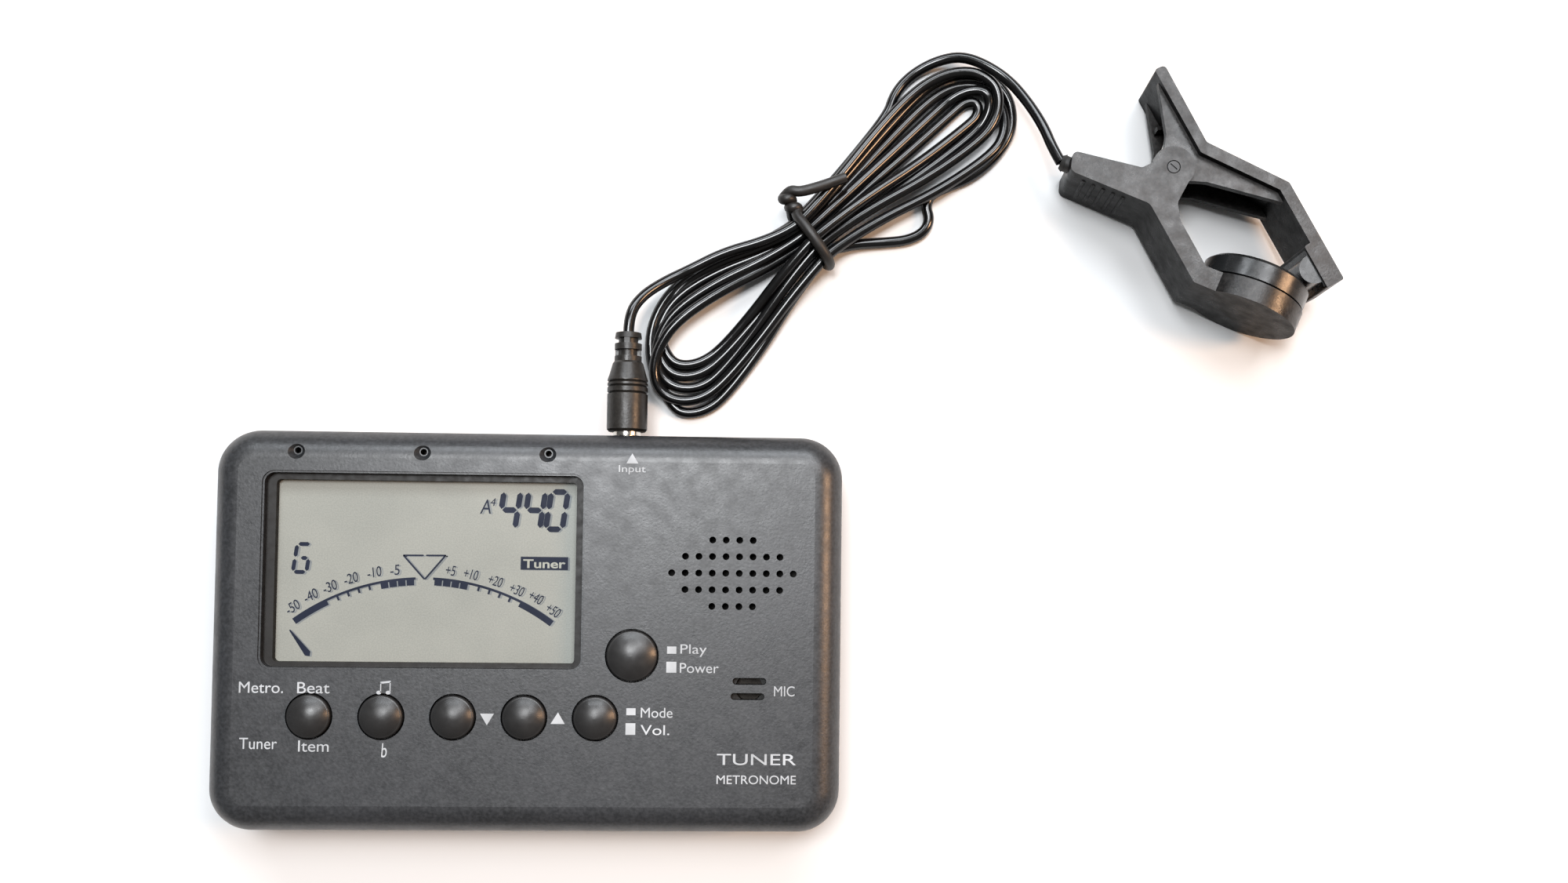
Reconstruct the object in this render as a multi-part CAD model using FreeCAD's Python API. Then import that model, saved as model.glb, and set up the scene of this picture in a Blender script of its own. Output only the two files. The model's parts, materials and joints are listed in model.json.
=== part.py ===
import FreeCAD, Part
import math
import os

from FreeCAD import Placement, Rotation, Vector

# A pocket tuner and metronome with a wired spring-clip pickup.  Millimetres, +Z up.
# The tuner lies on its back: the origin is the centre of its back face, +X runs along
# its long side, +Y points to the edge with the input jack, and the front faces +Z.

# ---- tuner housing ----
LENGTH = 110.0
WIDTH = 70.0
HEIGHT = 17.5
CORNER_R = 7.5
FRONT_ROUND = 5.0
BACK_ROUND = 2.5
WALL = 1.8
FLOOR = 1.6
SPLIT_Z = 9.0          # parting plane, through the jack's axis
CEILING_Z = HEIGHT - WALL
SEAM = 0.3             # parting groove
LIP_T = 0.8            # tongue of the back shell inside the front shell
LIP_H = 1.4

# ---- display ----
WINDOW = (-18.0, 10.55, 55.0, 33.7)      # centre x, centre y, length, width
VIEW_AREA = (-17.9, 10.4, 52.1, 31.75)   # what the display frame leaves open
FRAME_SIZE = (58.0, 37.0)
GLASS_SIZE = (55.0, 34.6)
GLASS_TOP_Z = 14.3
GLASS_T = 2.2

# ---- board ----
BOARD_TOP_Z = 10.2
BOARD_T = 1.6
BOARD_Y = (-20.2, 32.4)
BOARD_X = 52.0

# ---- keys ----
KEY_ROW_Y = -14.65
KEY_ROW_X = (-36.85, -24.55, -12.3, -0.05, 12.2)
KEY_NAMES = ("key_beat", "key_note", "key_down", "key_up", "key_mode")
SMALL_KEY_R = 3.75
BIG_KEY = (18.4, -3.8)
BIG_KEY_R = 4.4
KEY_GAP = 0.3
KEY_TOP_Z = 19.2
FLANGE_Z = (14.6, 15.4)
MAT_T = 0.8
DOME_TOP_Z = 13.0

# ---- front openings ----
LAMP_X = (-40.15, -18.5, 3.2)
LAMP_Y = 31.3
GRILLE_CENTRE = (35.7, 10.7)
GRILLE_ROWS = ((4, 2.0), (8, 1.0), (10, 0.0), (8, -1.0), (4, -2.0))
GRILLE_PITCH = (2.36, 2.9)
GRILLE_HOLE_R = 0.6
MIC_SLOTS = ((38.9, -8.1), (38.6, -10.75))
MIC_SLOT = (5.9, 1.2)
MIC_CENTRE = (38.8, -9.4)

# ---- fasteners ----
CASE_SCREWS = ((-49.0, 29.0), (49.0, 29.0), (-49.0, -17.0), (49.0, -17.0))
BOARD_SCREWS = ((-50.0, 6.0), (16.5, 12.0), (47.5, -8.0))
BOSS_R = 2.6
CASE_SHANK_R = 1.0
CASE_HEAD_R = 1.9
POST_R = 1.8
BOARD_SHANK_R = 0.9
THREAD_GAP = 0.02

# ---- battery bay ----
CELL_R = 5.25
CELL_L = 44.2
CELL_Y = -27.0
CELL_Z = 7.3
CELL_START_X = -44.3
BAY_X = 48.6
BAY_WALL_Y = -21.5
DOOR_X = 46.0
DOOR_T = 1.4
DOOR_INNER_Y = -20.4
DOOR_GAP = 0.15
TONGUE = 1.0

# ---- fold-out stand ----
STAND_HALF_X = 14.0
STAND_FREE_Y = -12.0
STAND_HINGE_Y = 12.5
STAND_HINGE_Z = 0.85
STAND_T = 1.6
STAND_PIN_R = 0.7
STAND_PIN_L = 1.2
STAND_GAP = 0.25
POCKET_Z = 2.0

# ---- input jack and plug, on one axis along Y ----
JACK_X = 16.0
JACK_Z = SPLIT_Z
JACK_BORE_R = 1.8
JACK_NOSE_R = 3.6
JACK_BACK_Y = 19.8
PLUG_R = 1.75
PLUG_TIP_Y = 21.3
COLLAR_R = 2.5
BOOT_START_Y = WIDTH / 2 + 1.0
BOOT_END_Y = BOOT_START_Y + 18.0
BOOT_R = 3.65

# ---- cable ----
CABLE_D = 2.0
PLUG_ROUTE = (
    (16.0, 54.0, 9.0),
    (16.0, 57.4, 9.0),
    (18.1, 61.1, 7.7),
    (22.1, 64.2, 6.0),
    (26.5, 66.6, 5.0),
)
CLIP_ROUTE = (
    (81.8, 106.9, 4.4),
    (86.3, 103.7, 5.0),
    (89.8, 98.8, 6.4),
    (92.3, 93.9, 7.9),
    (93.6, 89.8, 9.0),
    (95.02, 87.14, 9.43),
)
# plan outline of the tied hank: x, y and corner radius
HANK_OUTLINE = (
    (18.0, 61.0, 7), (19.0, 43.0, 7), (27.5, 38.3, 6), (36.0, 44.0, 9), (44.8, 58.5, 12),
    (53.5, 71.6, 3), (67.5, 72.6, 3), (72.6, 76.6, 3), (72.4, 82.2, 2), (85.5, 89.5, 8),
    (89.6, 99.0, 7), (83.5, 108.0, 8), (72.0, 109.8, 8), (62.5, 101.0, 8), (54.5, 83.0, 12),
    (45.0, 75.2, 6), (28.0, 68.9, 14),
)
HANK_EYE = ((24.0, 51.5, 2), (32.0, 51.5, 4), (41.5, 64.8, 1.5), (29.0, 60.2, 5))
HANK_H = 7.0

# ---- twist tie round the hank's waist ----
TIE_D = 1.9
TIE_CENTRE = (49.0, 73.2)
TIE_ANGLE = -53.0
TIE_HALF = 6.2
TIE_TOP_Z = 8.35
TIE_CORNER = 2.2
TIE_TAIL = ((-5.6, 0.0, 8.3), (-8.4, 0.5, 8.2), (-7.2, 3.6, 7.9), (-4.8, 11.9, 7.5))

# ---- spring clip, drawn in its own frame: pivot at the origin, jaw along +X, width along Z ----
ARM_W = 14.0
HALF_W = ARM_W / 2
EAR_R = 3.85
PIN_R = 1.25
PIN_RUNNING_GAP = 0.05
CHEEK_Z = (4.0, 5.5)
SLOT_Z = 5.65
SLOT_R = 4.1
HUB_R = 3.6
JAW_ANGLE = 19.5               # slope of the jaw ends, degrees
SPINE_T = 2.1
DISC_R = 10.0
DISC_T = 3.7
DISC_ALONG = 11.3              # disc centre from the arm's bend
ARM_BEND = (16.8, -13.4)
CAP_R = 9.8
CAP_NECK = (3.7, 4.1)
CAP_TOP = 8.0
CAP_CHAMFER = 0.7
POCKET_R = 8.2
POCKET_DEPTH = 1.6
PAD_CENTRE = (31.0, 3.3)
PAD_R = 2.7
PAD_HALF_W = 6.5
WIRE_LINE_Z = 2.5              # height of the lead in the sensor arm
WIRE_POINTS = ((-14.6, -11.0), (-4.0, -7.0), (2.6, -6.3), (16.0, -11.3), (20.5, -10.0))
WIRE_R = 0.5
WIRE_BORE_R = 0.8
SPRING_WIRE_R = 0.5
SPRING_COIL_R = 2.6
SPRING_TURNS = 7
SPRING_PITCH = 0.95
PIVOT_XY = (114.8, 84.7)
CLIP_HEADING = -42.5           # world angle of the clip's +X
HANDLE_END_X = -15.2


# ---------- general helpers ----------

def box(x0, x1, y0, y1, z0, z1):
    return Part.makeBox(x1 - x0, y1 - y0, z1 - z0, Vector(x0, y0, z0))


def rod(radius, start, end):
    start = Vector(*start)
    along = Vector(*end) - start
    return Part.makeCylinder(radius, along.Length, start, along)


def post(radius, z0, z1, x=0.0, y=0.0):
    return rod(radius, (x, y, z0), (x, y, z1))


def fused(shapes):
    return shapes[0].multiFuse(shapes[1:]).removeSplitter()


def round_block(length, width, z0, z1, corner, cx=0.0, cy=0.0):
    block = box(cx - length / 2, cx + length / 2, cy - width / 2, cy + width / 2, z0, z1)
    uprights = [e for e in block.Edges if abs(e.Vertexes[0].Z - e.Vertexes[1].Z) > 1e-6]
    return block.makeFillet(corner, uprights)


def level_edges(shape, z):
    return [e for e in shape.Edges if all(abs(v.Z - z) < 1e-6 for v in e.Vertexes)]


def corner_arc(before, corner, after, radius):
    """Tangent arc at a corner: its start, middle and end points."""
    a = (before - corner).normalize()
    b = (after - corner).normalize()
    half = a.getAngle(b) / 2
    setback = radius / math.tan(half)
    middle_way = (a + b).normalize()
    middle = corner + middle_way * (radius / math.sin(half) - radius)
    return corner + a * setback, middle, corner + b * setback


def rounded_path(points, radii, closed):
    """Straight edges joined by tangent arcs.  A radius of 0 leaves a sharp corner."""
    count = len(points)
    inner = range(count) if closed else range(1, count - 1)
    corners = {}
    for i in inner:
        if radii[i] > 0:
            corners[i] = corner_arc(points[i - 1], points[i], points[(i + 1) % count], radii[i])
    edges = []
    for i in range(count if closed else count - 1):
        j = (i + 1) % count
        start = corners[i][2] if i in corners else points[i]
        end = corners[j][0] if j in corners else points[j]
        if (end - start).Length > 1e-6:
            edges.append(Part.LineSegment(start, end).toShape())
        if j in corners:
            edges.append(Part.Arc(*corners[j]).toShape())
    return Part.Wire(edges)


def plate(outline, z0, z1):
    """Extruded plan outline; each corner is x, y and its radius."""
    points = [Vector(x, y, z0) for x, y, _ in outline]
    wire = rounded_path(points, [r for _, _, r in outline], True)
    return Part.Face(wire).extrude(Vector(0, 0, z1 - z0))


def turned(profile, base=(0, 0, 0), axis=(0, 0, 1)):
    """Solid of revolution.  The profile's corners are radius and distance along the axis."""
    points = [Vector(r, 0, h) for r, h in profile]
    face = Part.Face(Part.makePolygon(points + points[:1]))
    solid = face.revolve(Vector(0, 0, 0), Vector(0, 0, 1), 360)
    solid.Placement = Placement(Vector(*base), Rotation(Vector(0, 0, 1), Vector(*axis)))
    return solid


def swept_wire(points, radii, diameter, name):
    """Round tube along straight runs and tangent arcs, checked against section times length."""
    path = rounded_path([Vector(*p) for p in points], radii, False)
    start = path.Edges[0]
    heading = start.tangentAt(start.FirstParameter)
    ring = Part.makeCircle(diameter / 2, Vector(*points[0]), heading)
    tube = path.makePipeShell([Part.Wire(ring)], True, True)
    share = tube.Volume / (math.pi * diameter ** 2 / 4 * path.Length)
    shown = ", ".join(f"{r:.1f}" for r in radii[1:-1])
    print(f"{name}: length {path.Length:.1f}, radii {shown}, volume share {share:.4f}")
    return tube


def bend_radii(points):
    """0.45 of the shorter run over the tangent of half the turn, at each inner point."""
    vectors = [Vector(*p) for p in points]
    radii = [0.0]
    for before, here, after in zip(vectors, vectors[1:], vectors[2:]):
        first = here - before
        second = after - here
        turn = first.getAngle(second)
        radii.append(0.45 * min(first.Length, second.Length) / math.tan(turn / 2))
    return radii + [0.0]


def cross_recess(x, y, z, span, depth):
    """Cross-head drive cut, opening downwards."""
    half = span / 2
    bars = [box(x - half, x + half, y - 0.2, y + 0.2, z, z + depth)]
    bars.append(box(x - 0.2, x + 0.2, y - half, y + half, z, z + depth))
    return fused(bars)


# ---------- tuner housing ----------

def housing_outer():
    body = round_block(LENGTH, WIDTH, 0, HEIGHT, CORNER_R)
    body = body.makeFillet(FRONT_ROUND, level_edges(body, HEIGHT))
    return body.makeFillet(BACK_ROUND, level_edges(body, 0))


def housing_cavity():
    inset = 2 * WALL
    room = round_block(LENGTH - inset, WIDTH - inset, FLOOR, CEILING_Z, CORNER_R - WALL)
    room = room.makeFillet(FRONT_ROUND - WALL, level_edges(room, CEILING_Z))
    return room.makeFillet(BACK_ROUND - WALL, level_edges(room, FLOOR))


def lip_ring(clearance):
    """Tongue that the back shell pushes inside the front shell."""
    grow = 2 * (LIP_T - WALL + clearance)
    outer = round_block(LENGTH + grow, WIDTH + grow, SPLIT_Z - 0.5, SPLIT_Z + LIP_H + clearance,
                        CORNER_R + grow / 2)
    inset = 2 * WALL
    inner = round_block(LENGTH - inset, WIDTH - inset, SPLIT_Z - 1, SPLIT_Z + LIP_H + 1,
                        CORNER_R - WALL)
    return outer.cut(inner)


def seam_groove():
    outer = round_block(LENGTH + 2, WIDTH + 2, SPLIT_Z, SPLIT_Z + SEAM, CORNER_R + 1)
    kept = round_block(LENGTH - 2 * SEAM, WIDTH - 2 * SEAM, SPLIT_Z - 1, SPLIT_Z + 1,
                       CORNER_R - SEAM)
    return outer.cut(kept)


def grille_points():
    for count, row in GRILLE_ROWS:
        for i in range(count):
            x = GRILLE_CENTRE[0] + (i - (count - 1) / 2) * GRILLE_PITCH[0]
            yield x, GRILLE_CENTRE[1] + row * GRILLE_PITCH[1]


def mic_slot(x, y):
    length, width = MIC_SLOT
    end = (length - width) / 2
    z0, z1 = CEILING_Z - 1, HEIGHT + 1
    middle = box(x - end, x + end, y - width / 2, y + width / 2, z0, z1)
    ends = [post(width / 2, z0, z1, x + side * end, y) for side in (-1, 1)]
    return fused([middle] + ends)


def lamp_recess(x):
    dish = Part.makeCone(0.75, 1.7, 1.2, Vector(x, LAMP_Y, HEIGHT - 1.05))
    return fused([dish, post(0.55, CEILING_Z - 2, HEIGHT, x, LAMP_Y)])


def jack_hole():
    return rod(JACK_NOSE_R + 0.05, (JACK_X, WIDTH / 2 - WALL - 1, JACK_Z),
               (JACK_X, WIDTH / 2 + 1, JACK_Z))


def front_case():
    upper = box(-LENGTH, LENGTH, -WIDTH, WIDTH, SPLIT_Z, HEIGHT + 1)
    shell = housing_outer().common(upper).cut([housing_cavity(), lip_ring(0.05), seam_groove()])
    cx, cy, length, width = WINDOW
    window = round_block(length, width, CEILING_Z - 1, HEIGHT + 1, 1.8, cx, cy)
    bevel = round_block(length + 0.7, width + 0.7, HEIGHT - 0.35, HEIGHT + 1, 2.15, cx, cy)
    z0, z1 = CEILING_Z - 1, HEIGHT + 1
    keys = [post(SMALL_KEY_R + KEY_GAP, z0, z1, x, KEY_ROW_Y) for x in KEY_ROW_X]
    keys.append(post(BIG_KEY_R + KEY_GAP, z0, z1, *BIG_KEY))
    grille = [post(GRILLE_HOLE_R, z0, z1, x, y) for x, y in grille_points()]
    slots = [mic_slot(x, y) for x, y in MIC_SLOTS]
    lamps = [lamp_recess(x) for x in LAMP_X]
    shell = shell.cut([window, bevel] + keys + grille + slots + lamps)
    bosses = [post(BOSS_R, SPLIT_Z, CEILING_Z + 0.4, x, y) for x, y in CASE_SCREWS]
    posts = [post(POST_R, BOARD_TOP_Z, CEILING_Z + 0.4, x, y) for x, y in BOARD_SCREWS]
    ring = post(14.5, 13.0, CEILING_Z + 0.2, *GRILLE_CENTRE)
    ring = ring.cut(post(13.7, 12.0, HEIGHT, *GRILLE_CENTRE))
    shell = fused([shell, ring] + bosses + posts)
    bores = [post(CASE_SHANK_R + THREAD_GAP, SPLIT_Z - 1, 14.2, x, y) for x, y in CASE_SCREWS]
    bores += [post(BOARD_SHANK_R + THREAD_GAP, 9, 14.2, x, y) for x, y in BOARD_SCREWS]
    return shell.cut(bores + [jack_hole()])


def door_slab(clearance):
    """Sliding battery door, or with a clearance the room that it needs in the back shell."""
    c = clearance
    slab = box(-DOOR_X - c, DOOR_X + c, -WIDTH / 2 - (1 if c else 0), DOOR_INNER_Y + c,
               -1 if c else 0, DOOR_T + c)
    tongue_x = DOOR_X + TONGUE
    tongue = box(-tongue_x - c, tongue_x + c, -WIDTH / 2 - (1 if c else -3), DOOR_INNER_Y + c,
                 0.75 - c, DOOR_T + c)
    return fused([slab, tongue])


def battery_door():
    door = door_slab(0.0).common(housing_outer())
    grips = [box(-7, 7, y, y + 0.7, -1, 0.35) for y in (-31.5, -30.0, -28.5, -27.0, -25.5)]
    return door.cut(grips)


def stand_room():
    """Pocket for the folded stand, with a finger notch at its free end."""
    g = STAND_GAP
    pocket = box(-STAND_HALF_X - g, STAND_HALF_X + g, STAND_FREE_Y - g, STAND_HINGE_Y + 1.1,
                 -1, POCKET_Z)
    notch = post(5.0, -1, POCKET_Z, 0, STAND_FREE_Y)
    reach = STAND_HALF_X + STAND_PIN_L + 0.1
    pins = rod(STAND_PIN_R + 0.05, (-reach, STAND_HINGE_Y, STAND_HINGE_Z),
               (reach, STAND_HINGE_Y, STAND_HINGE_Z))
    return fused([pocket, notch, pins])


def stand_surround():
    """Raised floor inside the case, behind the stand's pocket."""
    return box(-STAND_HALF_X - 3, STAND_HALF_X + 3, STAND_FREE_Y - 7, STAND_HINGE_Y + 2.6,
               FLOOR - 0.2, POCKET_Z + 1.2)


def stand():
    blade = box(-STAND_HALF_X, STAND_HALF_X, STAND_FREE_Y, STAND_HINGE_Y, 0.05, STAND_T + 0.05)
    corners = [e for e in blade.Edges if e.Vertexes[0].Y < 0 and e.Vertexes[1].Y < 0
               and abs(e.Vertexes[0].Z - e.Vertexes[1].Z) > 1]
    blade = blade.makeFillet(2.5, corners)
    barrel = rod(0.8, (-STAND_HALF_X, STAND_HINGE_Y, STAND_HINGE_Z),
                 (STAND_HALF_X, STAND_HINGE_Y, STAND_HINGE_Z))
    reach = STAND_HALF_X + STAND_PIN_L
    pins = rod(STAND_PIN_R, (-reach, STAND_HINGE_Y, STAND_HINGE_Z),
               (reach, STAND_HINGE_Y, STAND_HINGE_Z))
    window = round_block(14, 10, -1, 3, 2, 0, 2)
    return fused([blade, barrel, pins]).cut(window)


def back_case():
    lower = box(-LENGTH, LENGTH, -WIDTH, WIDTH, -1, SPLIT_Z)
    shell = housing_outer().common(lower).cut(housing_cavity())
    lip = lip_ring(0.0).common(box(-LENGTH, LENGTH, -WIDTH, WIDTH, SPLIT_Z - 0.5, HEIGHT))
    bosses = [post(BOSS_R, FLOOR - 0.2, SPLIT_Z, x, y) for x, y in CASE_SCREWS]
    bay = [box(-BAY_X - 1, BAY_X + 1, BAY_WALL_Y, BAY_WALL_Y + 1.5, FLOOR - 0.2, 8.2)]
    bay += [box(x, x + 1, -WIDTH / 2 + WALL - 0.3, BAY_WALL_Y + 1, FLOOR - 0.2, 8.2)
            for x in (-BAY_X - 1, BAY_X)]
    bay += [box(x, x + 4.2, -WIDTH / 2 + WALL - 0.1, BAY_WALL_Y + 0.5, FLOOR - 0.2, 2.6)
            for x in (-BAY_X - 0.1, BAY_X - 4.1)]
    shell = fused([shell, lip, stand_surround()] + bosses + bay)
    heads = [post(CASE_HEAD_R + 0.15, -1, 2.7, x, y) for x, y in CASE_SCREWS]
    bores = [post(CASE_SHANK_R + 0.15, 1, HEIGHT, x, y) for x, y in CASE_SCREWS]
    opening = box(-DOOR_X + 1.5, DOOR_X - 1.5, -WIDTH / 2 + WALL - 0.1, BAY_WALL_Y, -1, 2.0)
    return shell.cut(heads + bores + [opening, door_slab(DOOR_GAP), stand_room(), jack_hole()])


# ---------- display ----------

def lcd_frame():
    cx, cy, length, width = VIEW_AREA
    outer = round_block(FRAME_SIZE[0], FRAME_SIZE[1], BOARD_TOP_Z, CEILING_Z, 2.5, cx, cy)
    view = round_block(length, width, 9, HEIGHT, 0.8, cx, cy)
    seat = box(cx - GLASS_SIZE[0] / 2, cx + GLASS_SIZE[0] / 2, cy - GLASS_SIZE[1] / 2,
               cy + GLASS_SIZE[1] / 2, 9, GLASS_TOP_Z)
    return outer.cut([view, seat])


def lcd_glass():
    cx, cy = VIEW_AREA[:2]
    half_x, half_y = GLASS_SIZE[0] / 2, GLASS_SIZE[1] / 2
    return box(cx - half_x, cx + half_x, cy - half_y, cy + half_y, GLASS_TOP_Z - GLASS_T,
               GLASS_TOP_Z)


def lcd_reflector():
    cx, cy = VIEW_AREA[:2]
    top = GLASS_TOP_Z - GLASS_T
    return box(cx - 27, cx + 27, cy - 14, cy + 14, top - 0.3, top)


def zebra_strips():
    cx, cy = VIEW_AREA[:2]
    top = GLASS_TOP_Z - GLASS_T
    return Part.Compound([box(cx - 25, cx + 25, cy + side * 15.7 - 1, cy + side * 15.7 + 1,
                              BOARD_TOP_Z, top) for side in (-1, 1)])


# ---------- board and keys ----------

def main_board():
    z0, z1 = BOARD_TOP_Z - BOARD_T, BOARD_TOP_Z
    board = box(-BOARD_X, BOARD_X, BOARD_Y[0], BOARD_Y[1], z0, z1)
    uprights = [e for e in board.Edges if abs(e.Vertexes[0].Z - e.Vertexes[1].Z) > 1
                and e.Vertexes[0].Y > 0]
    board = board.makeFillet(5.5, uprights)
    holes = [post(BOSS_R + 0.3, z0 - 1, z1 + 1, x, y) for x, y in CASE_SCREWS]
    holes += [post(BOARD_SHANK_R + 0.2, z0 - 1, z1 + 1, x, y) for x, y in BOARD_SCREWS]
    notch = box(JACK_X - 3.8, JACK_X + 3.8, JACK_BACK_Y - 0.3, WIDTH, z0 - 1, z1 + 1)
    return board.cut(holes + [notch])


def board_components():
    under = BOARD_TOP_Z - BOARD_T
    chip = box(-26, -14, 16, 28, under - 1.4, under)
    blob = turned(((0, 0), (6, 0), (5, -0.8), (0, -1.2)), (-30.0, 2.0, under))
    crystal = rod(1.5, (2.0, 20.0, under - 1.6), (9.0, 20.0, under - 1.6))
    capacitor = post(2.5, under - 5.0, under, 30.0, -8.0)
    small = [box(x, x + 2.0, 16.0, 17.2, under - 0.6, under) for x in (24, 28, 32, 36, 40)]
    return Part.Compound([chip, blob, crystal, capacitor] + small)


def key_sites():
    sites = [(name, x, KEY_ROW_Y, SMALL_KEY_R) for name, x in zip(KEY_NAMES, KEY_ROW_X)]
    return sites + [("key_power", BIG_KEY[0], BIG_KEY[1], BIG_KEY_R)]


def key_cap(x, y, radius):
    """Domed key: contact post, retaining flange, barrel and crown."""
    rim = HEIGHT + 0.2
    flange = radius + 0.95
    corners = ((0, DOME_TOP_Z), (2.2, DOME_TOP_Z), (2.2, FLANGE_Z[0]), (flange, FLANGE_Z[0]),
               (flange, FLANGE_Z[1]), (radius, FLANGE_Z[1]), (radius, rim))
    points = [Vector(r, 0, z) for r, z in corners]
    edges = [Part.LineSegment(a, b).toShape() for a, b in zip(points, points[1:])]
    shoulder = Vector(radius - 0.35, 0, rim + 0.42)
    edges.append(Part.Arc(points[-1], Vector(radius - 0.09, 0, rim + 0.26), shoulder).toShape())
    rise = KEY_TOP_Z - shoulder.z
    sphere_r = (shoulder.x ** 2 + rise ** 2) / (2 * rise)
    half = shoulder.x / 2
    middle = Vector(half, 0, KEY_TOP_Z - sphere_r + math.sqrt(sphere_r ** 2 - half ** 2))
    crown = Vector(0, 0, KEY_TOP_Z)
    edges.append(Part.Arc(shoulder, middle, crown).toShape())
    edges.append(Part.LineSegment(crown, points[0]).toShape())
    cap = Part.Face(Part.Wire(edges)).revolve(Vector(0, 0, 0), Vector(0, 0, 1), 360)
    cap.translate(Vector(x, y, 0))
    return cap


def keypad_mat():
    """Silicone sheet on the board with a hollow dome under each key."""
    z0, z1 = BOARD_TOP_Z, BOARD_TOP_Z + MAT_T
    sheet = fused([box(-43, 25, -19.8, -8.6, z0, z1), box(12.8, 25, -8.7, 1.8, z0, z1)])
    domes, hollows, pills = [], [], []
    for _, x, y, _ in key_sites():
        domes.append(Part.makeCone(3.4, 2.2, DOME_TOP_Z - z1 + 0.1, Vector(x, y, z1 - 0.1)))
        hollows.append(Part.makeCone(2.9, 1.6, DOME_TOP_Z - 0.6 - z0 + 0.5, Vector(x, y, z0 - 0.5)))
        pills.append(post(1.1, DOME_TOP_Z - 1.1, DOME_TOP_Z - 0.5, x, y))
    return fused([fused([sheet] + domes).cut(hollows)] + pills)


# ---------- sound and light ----------

def indicator_lamps():
    lamps = []
    for x in LAMP_X:
        lamps.append(turned(((0, BOARD_TOP_Z), (1.2, BOARD_TOP_Z), (1.2, 13.0), (0.9, 13.8),
                             (0, 14.2)), (x, LAMP_Y, 0)))
    return Part.Compound(lamps)


def speaker_frame():
    profile = ((0, 10.5), (6.5, 10.5), (6.5, 12.6), (8.5, 12.6), (12.0, 14.9), (13.5, 14.9),
               (13.5, 15.6), (11.6, 15.6), (8.2, 13.2), (4.0, 13.2), (4.0, 12.4), (0, 12.4))
    return turned(profile, (GRILLE_CENTRE[0], GRILLE_CENTRE[1], 0))


def speaker_cone():
    profile = ((0, 13.9), (3.4, 13.2), (8.0, 13.4), (11.4, 15.45), (11.0, 15.5), (7.8, 13.7),
               (3.5, 13.5), (2.0, 14.1), (0, 14.4))
    return turned(profile, (GRILLE_CENTRE[0], GRILLE_CENTRE[1], 0))


def mic_capsule():
    x, y = MIC_CENTRE
    return fused([post(3.0, 11.2, 13.6, x, y), post(0.4, BOARD_TOP_Z, 11.3, x - 1.2, y),
                  post(0.4, BOARD_TOP_Z, 11.3, x + 1.2, y)])


def mic_boot():
    x, y = MIC_CENTRE
    sleeve = post(3.9, 11.2, CEILING_Z, x, y)
    return sleeve.cut([post(3.0, 11, 13.6, x, y), post(2.4, 13, HEIGHT, x, y)])


# ---------- power ----------

def battery_cells():
    cells = []
    for i in range(2):
        x = CELL_START_X + i * CELL_L
        body_end = CELL_L - 0.9
        can = ((0, 0), (CELL_R - 0.4, 0), (CELL_R, 0.4), (CELL_R, body_end - 0.4),
               (CELL_R - 0.4, body_end), (1.9, body_end), (1.9, CELL_L), (0, CELL_L))
        cells.append(turned(can, (x, CELL_Y, CELL_Z), (1, 0, 0)))
    return Part.Compound(cells)


def battery_spring():
    rings = []
    for i in range(5):
        x = CELL_START_X - 2.6 + 0.55 * i
        rings.append(Part.makeTorus(3.4 - 0.3 * i, 0.4, Vector(x, CELL_Y, CELL_Z), Vector(1, 0, 0)))
    return fused(rings)


def battery_contacts():
    start = CELL_START_X - 3.0
    end = CELL_START_X + 2 * CELL_L
    return Part.Compound([box(x, x + 0.5, CELL_Y - 4.2, CELL_Y + 4.2, CELL_Z - 4.5, CELL_Z + 4.5)
                          for x in (start - 0.5, end)])


# ---------- fasteners ----------

def screw(x, y, head_z, head_r, head_h, shank_r, length):
    head = Part.makeCone(head_r - 0.3, head_r, 0.4, Vector(x, y, head_z))
    collar = post(head_r, head_z + 0.4, head_z + head_h, x, y)
    shank = post(shank_r, head_z + head_h, head_z + head_h + length, x, y)
    drive = cross_recess(x, y, head_z - 0.1, 1.3 * head_r, 0.8)
    return fused([head, collar, shank]).cut(drive)


def case_screws():
    return Part.Compound([screw(x, y, 1.2, CASE_HEAD_R, 1.5, CASE_SHANK_R, 11.0)
                          for x, y in CASE_SCREWS])


def board_screws():
    under = BOARD_TOP_Z - BOARD_T
    return Part.Compound([screw(x, y, under - 1.2, 1.7, 1.2, BOARD_SHANK_R, 5.0)
                          for x, y in BOARD_SCREWS])


# ---------- jack, plug and cable ----------

def input_jack():
    wall_in = WIDTH / 2 - WALL
    body = box(JACK_X - 3.5, JACK_X + 3.5, JACK_BACK_Y, wall_in - 0.6, JACK_Z - 3, JACK_Z + 3)
    nose = rod(JACK_NOSE_R, (JACK_X, wall_in - 0.8, JACK_Z), (JACK_X, WIDTH / 2, JACK_Z))
    bore = rod(JACK_BORE_R, (JACK_X, JACK_BACK_Y + 0.8, JACK_Z), (JACK_X, WIDTH, JACK_Z))
    bevel = Part.makeCone(JACK_BORE_R, 2.5, 0.7, Vector(JACK_X, WIDTH / 2 - 0.7, JACK_Z),
                          Vector(0, 1, 0))
    return fused([body, nose]).cut([bore, bevel])


def jack_terminals():
    x = JACK_X
    pins = []
    for side, y in ((-1, 22.0), (1, 22.0), (-1, 28.0), (1, 28.0)):
        x0 = x + side * 3.5
        pins.append(box(min(x0, x0 + side * 1.2), max(x0, x0 + side * 1.2), y, y + 1.0,
                        BOARD_TOP_Z, BOARD_TOP_Z + 0.4))
    return Part.Compound(pins)


def plug_part(profile):
    """Turned part of the plug; the profile is radius and Y."""
    return turned(profile, (JACK_X, 0, JACK_Z), (0, 1, 0))


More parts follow.
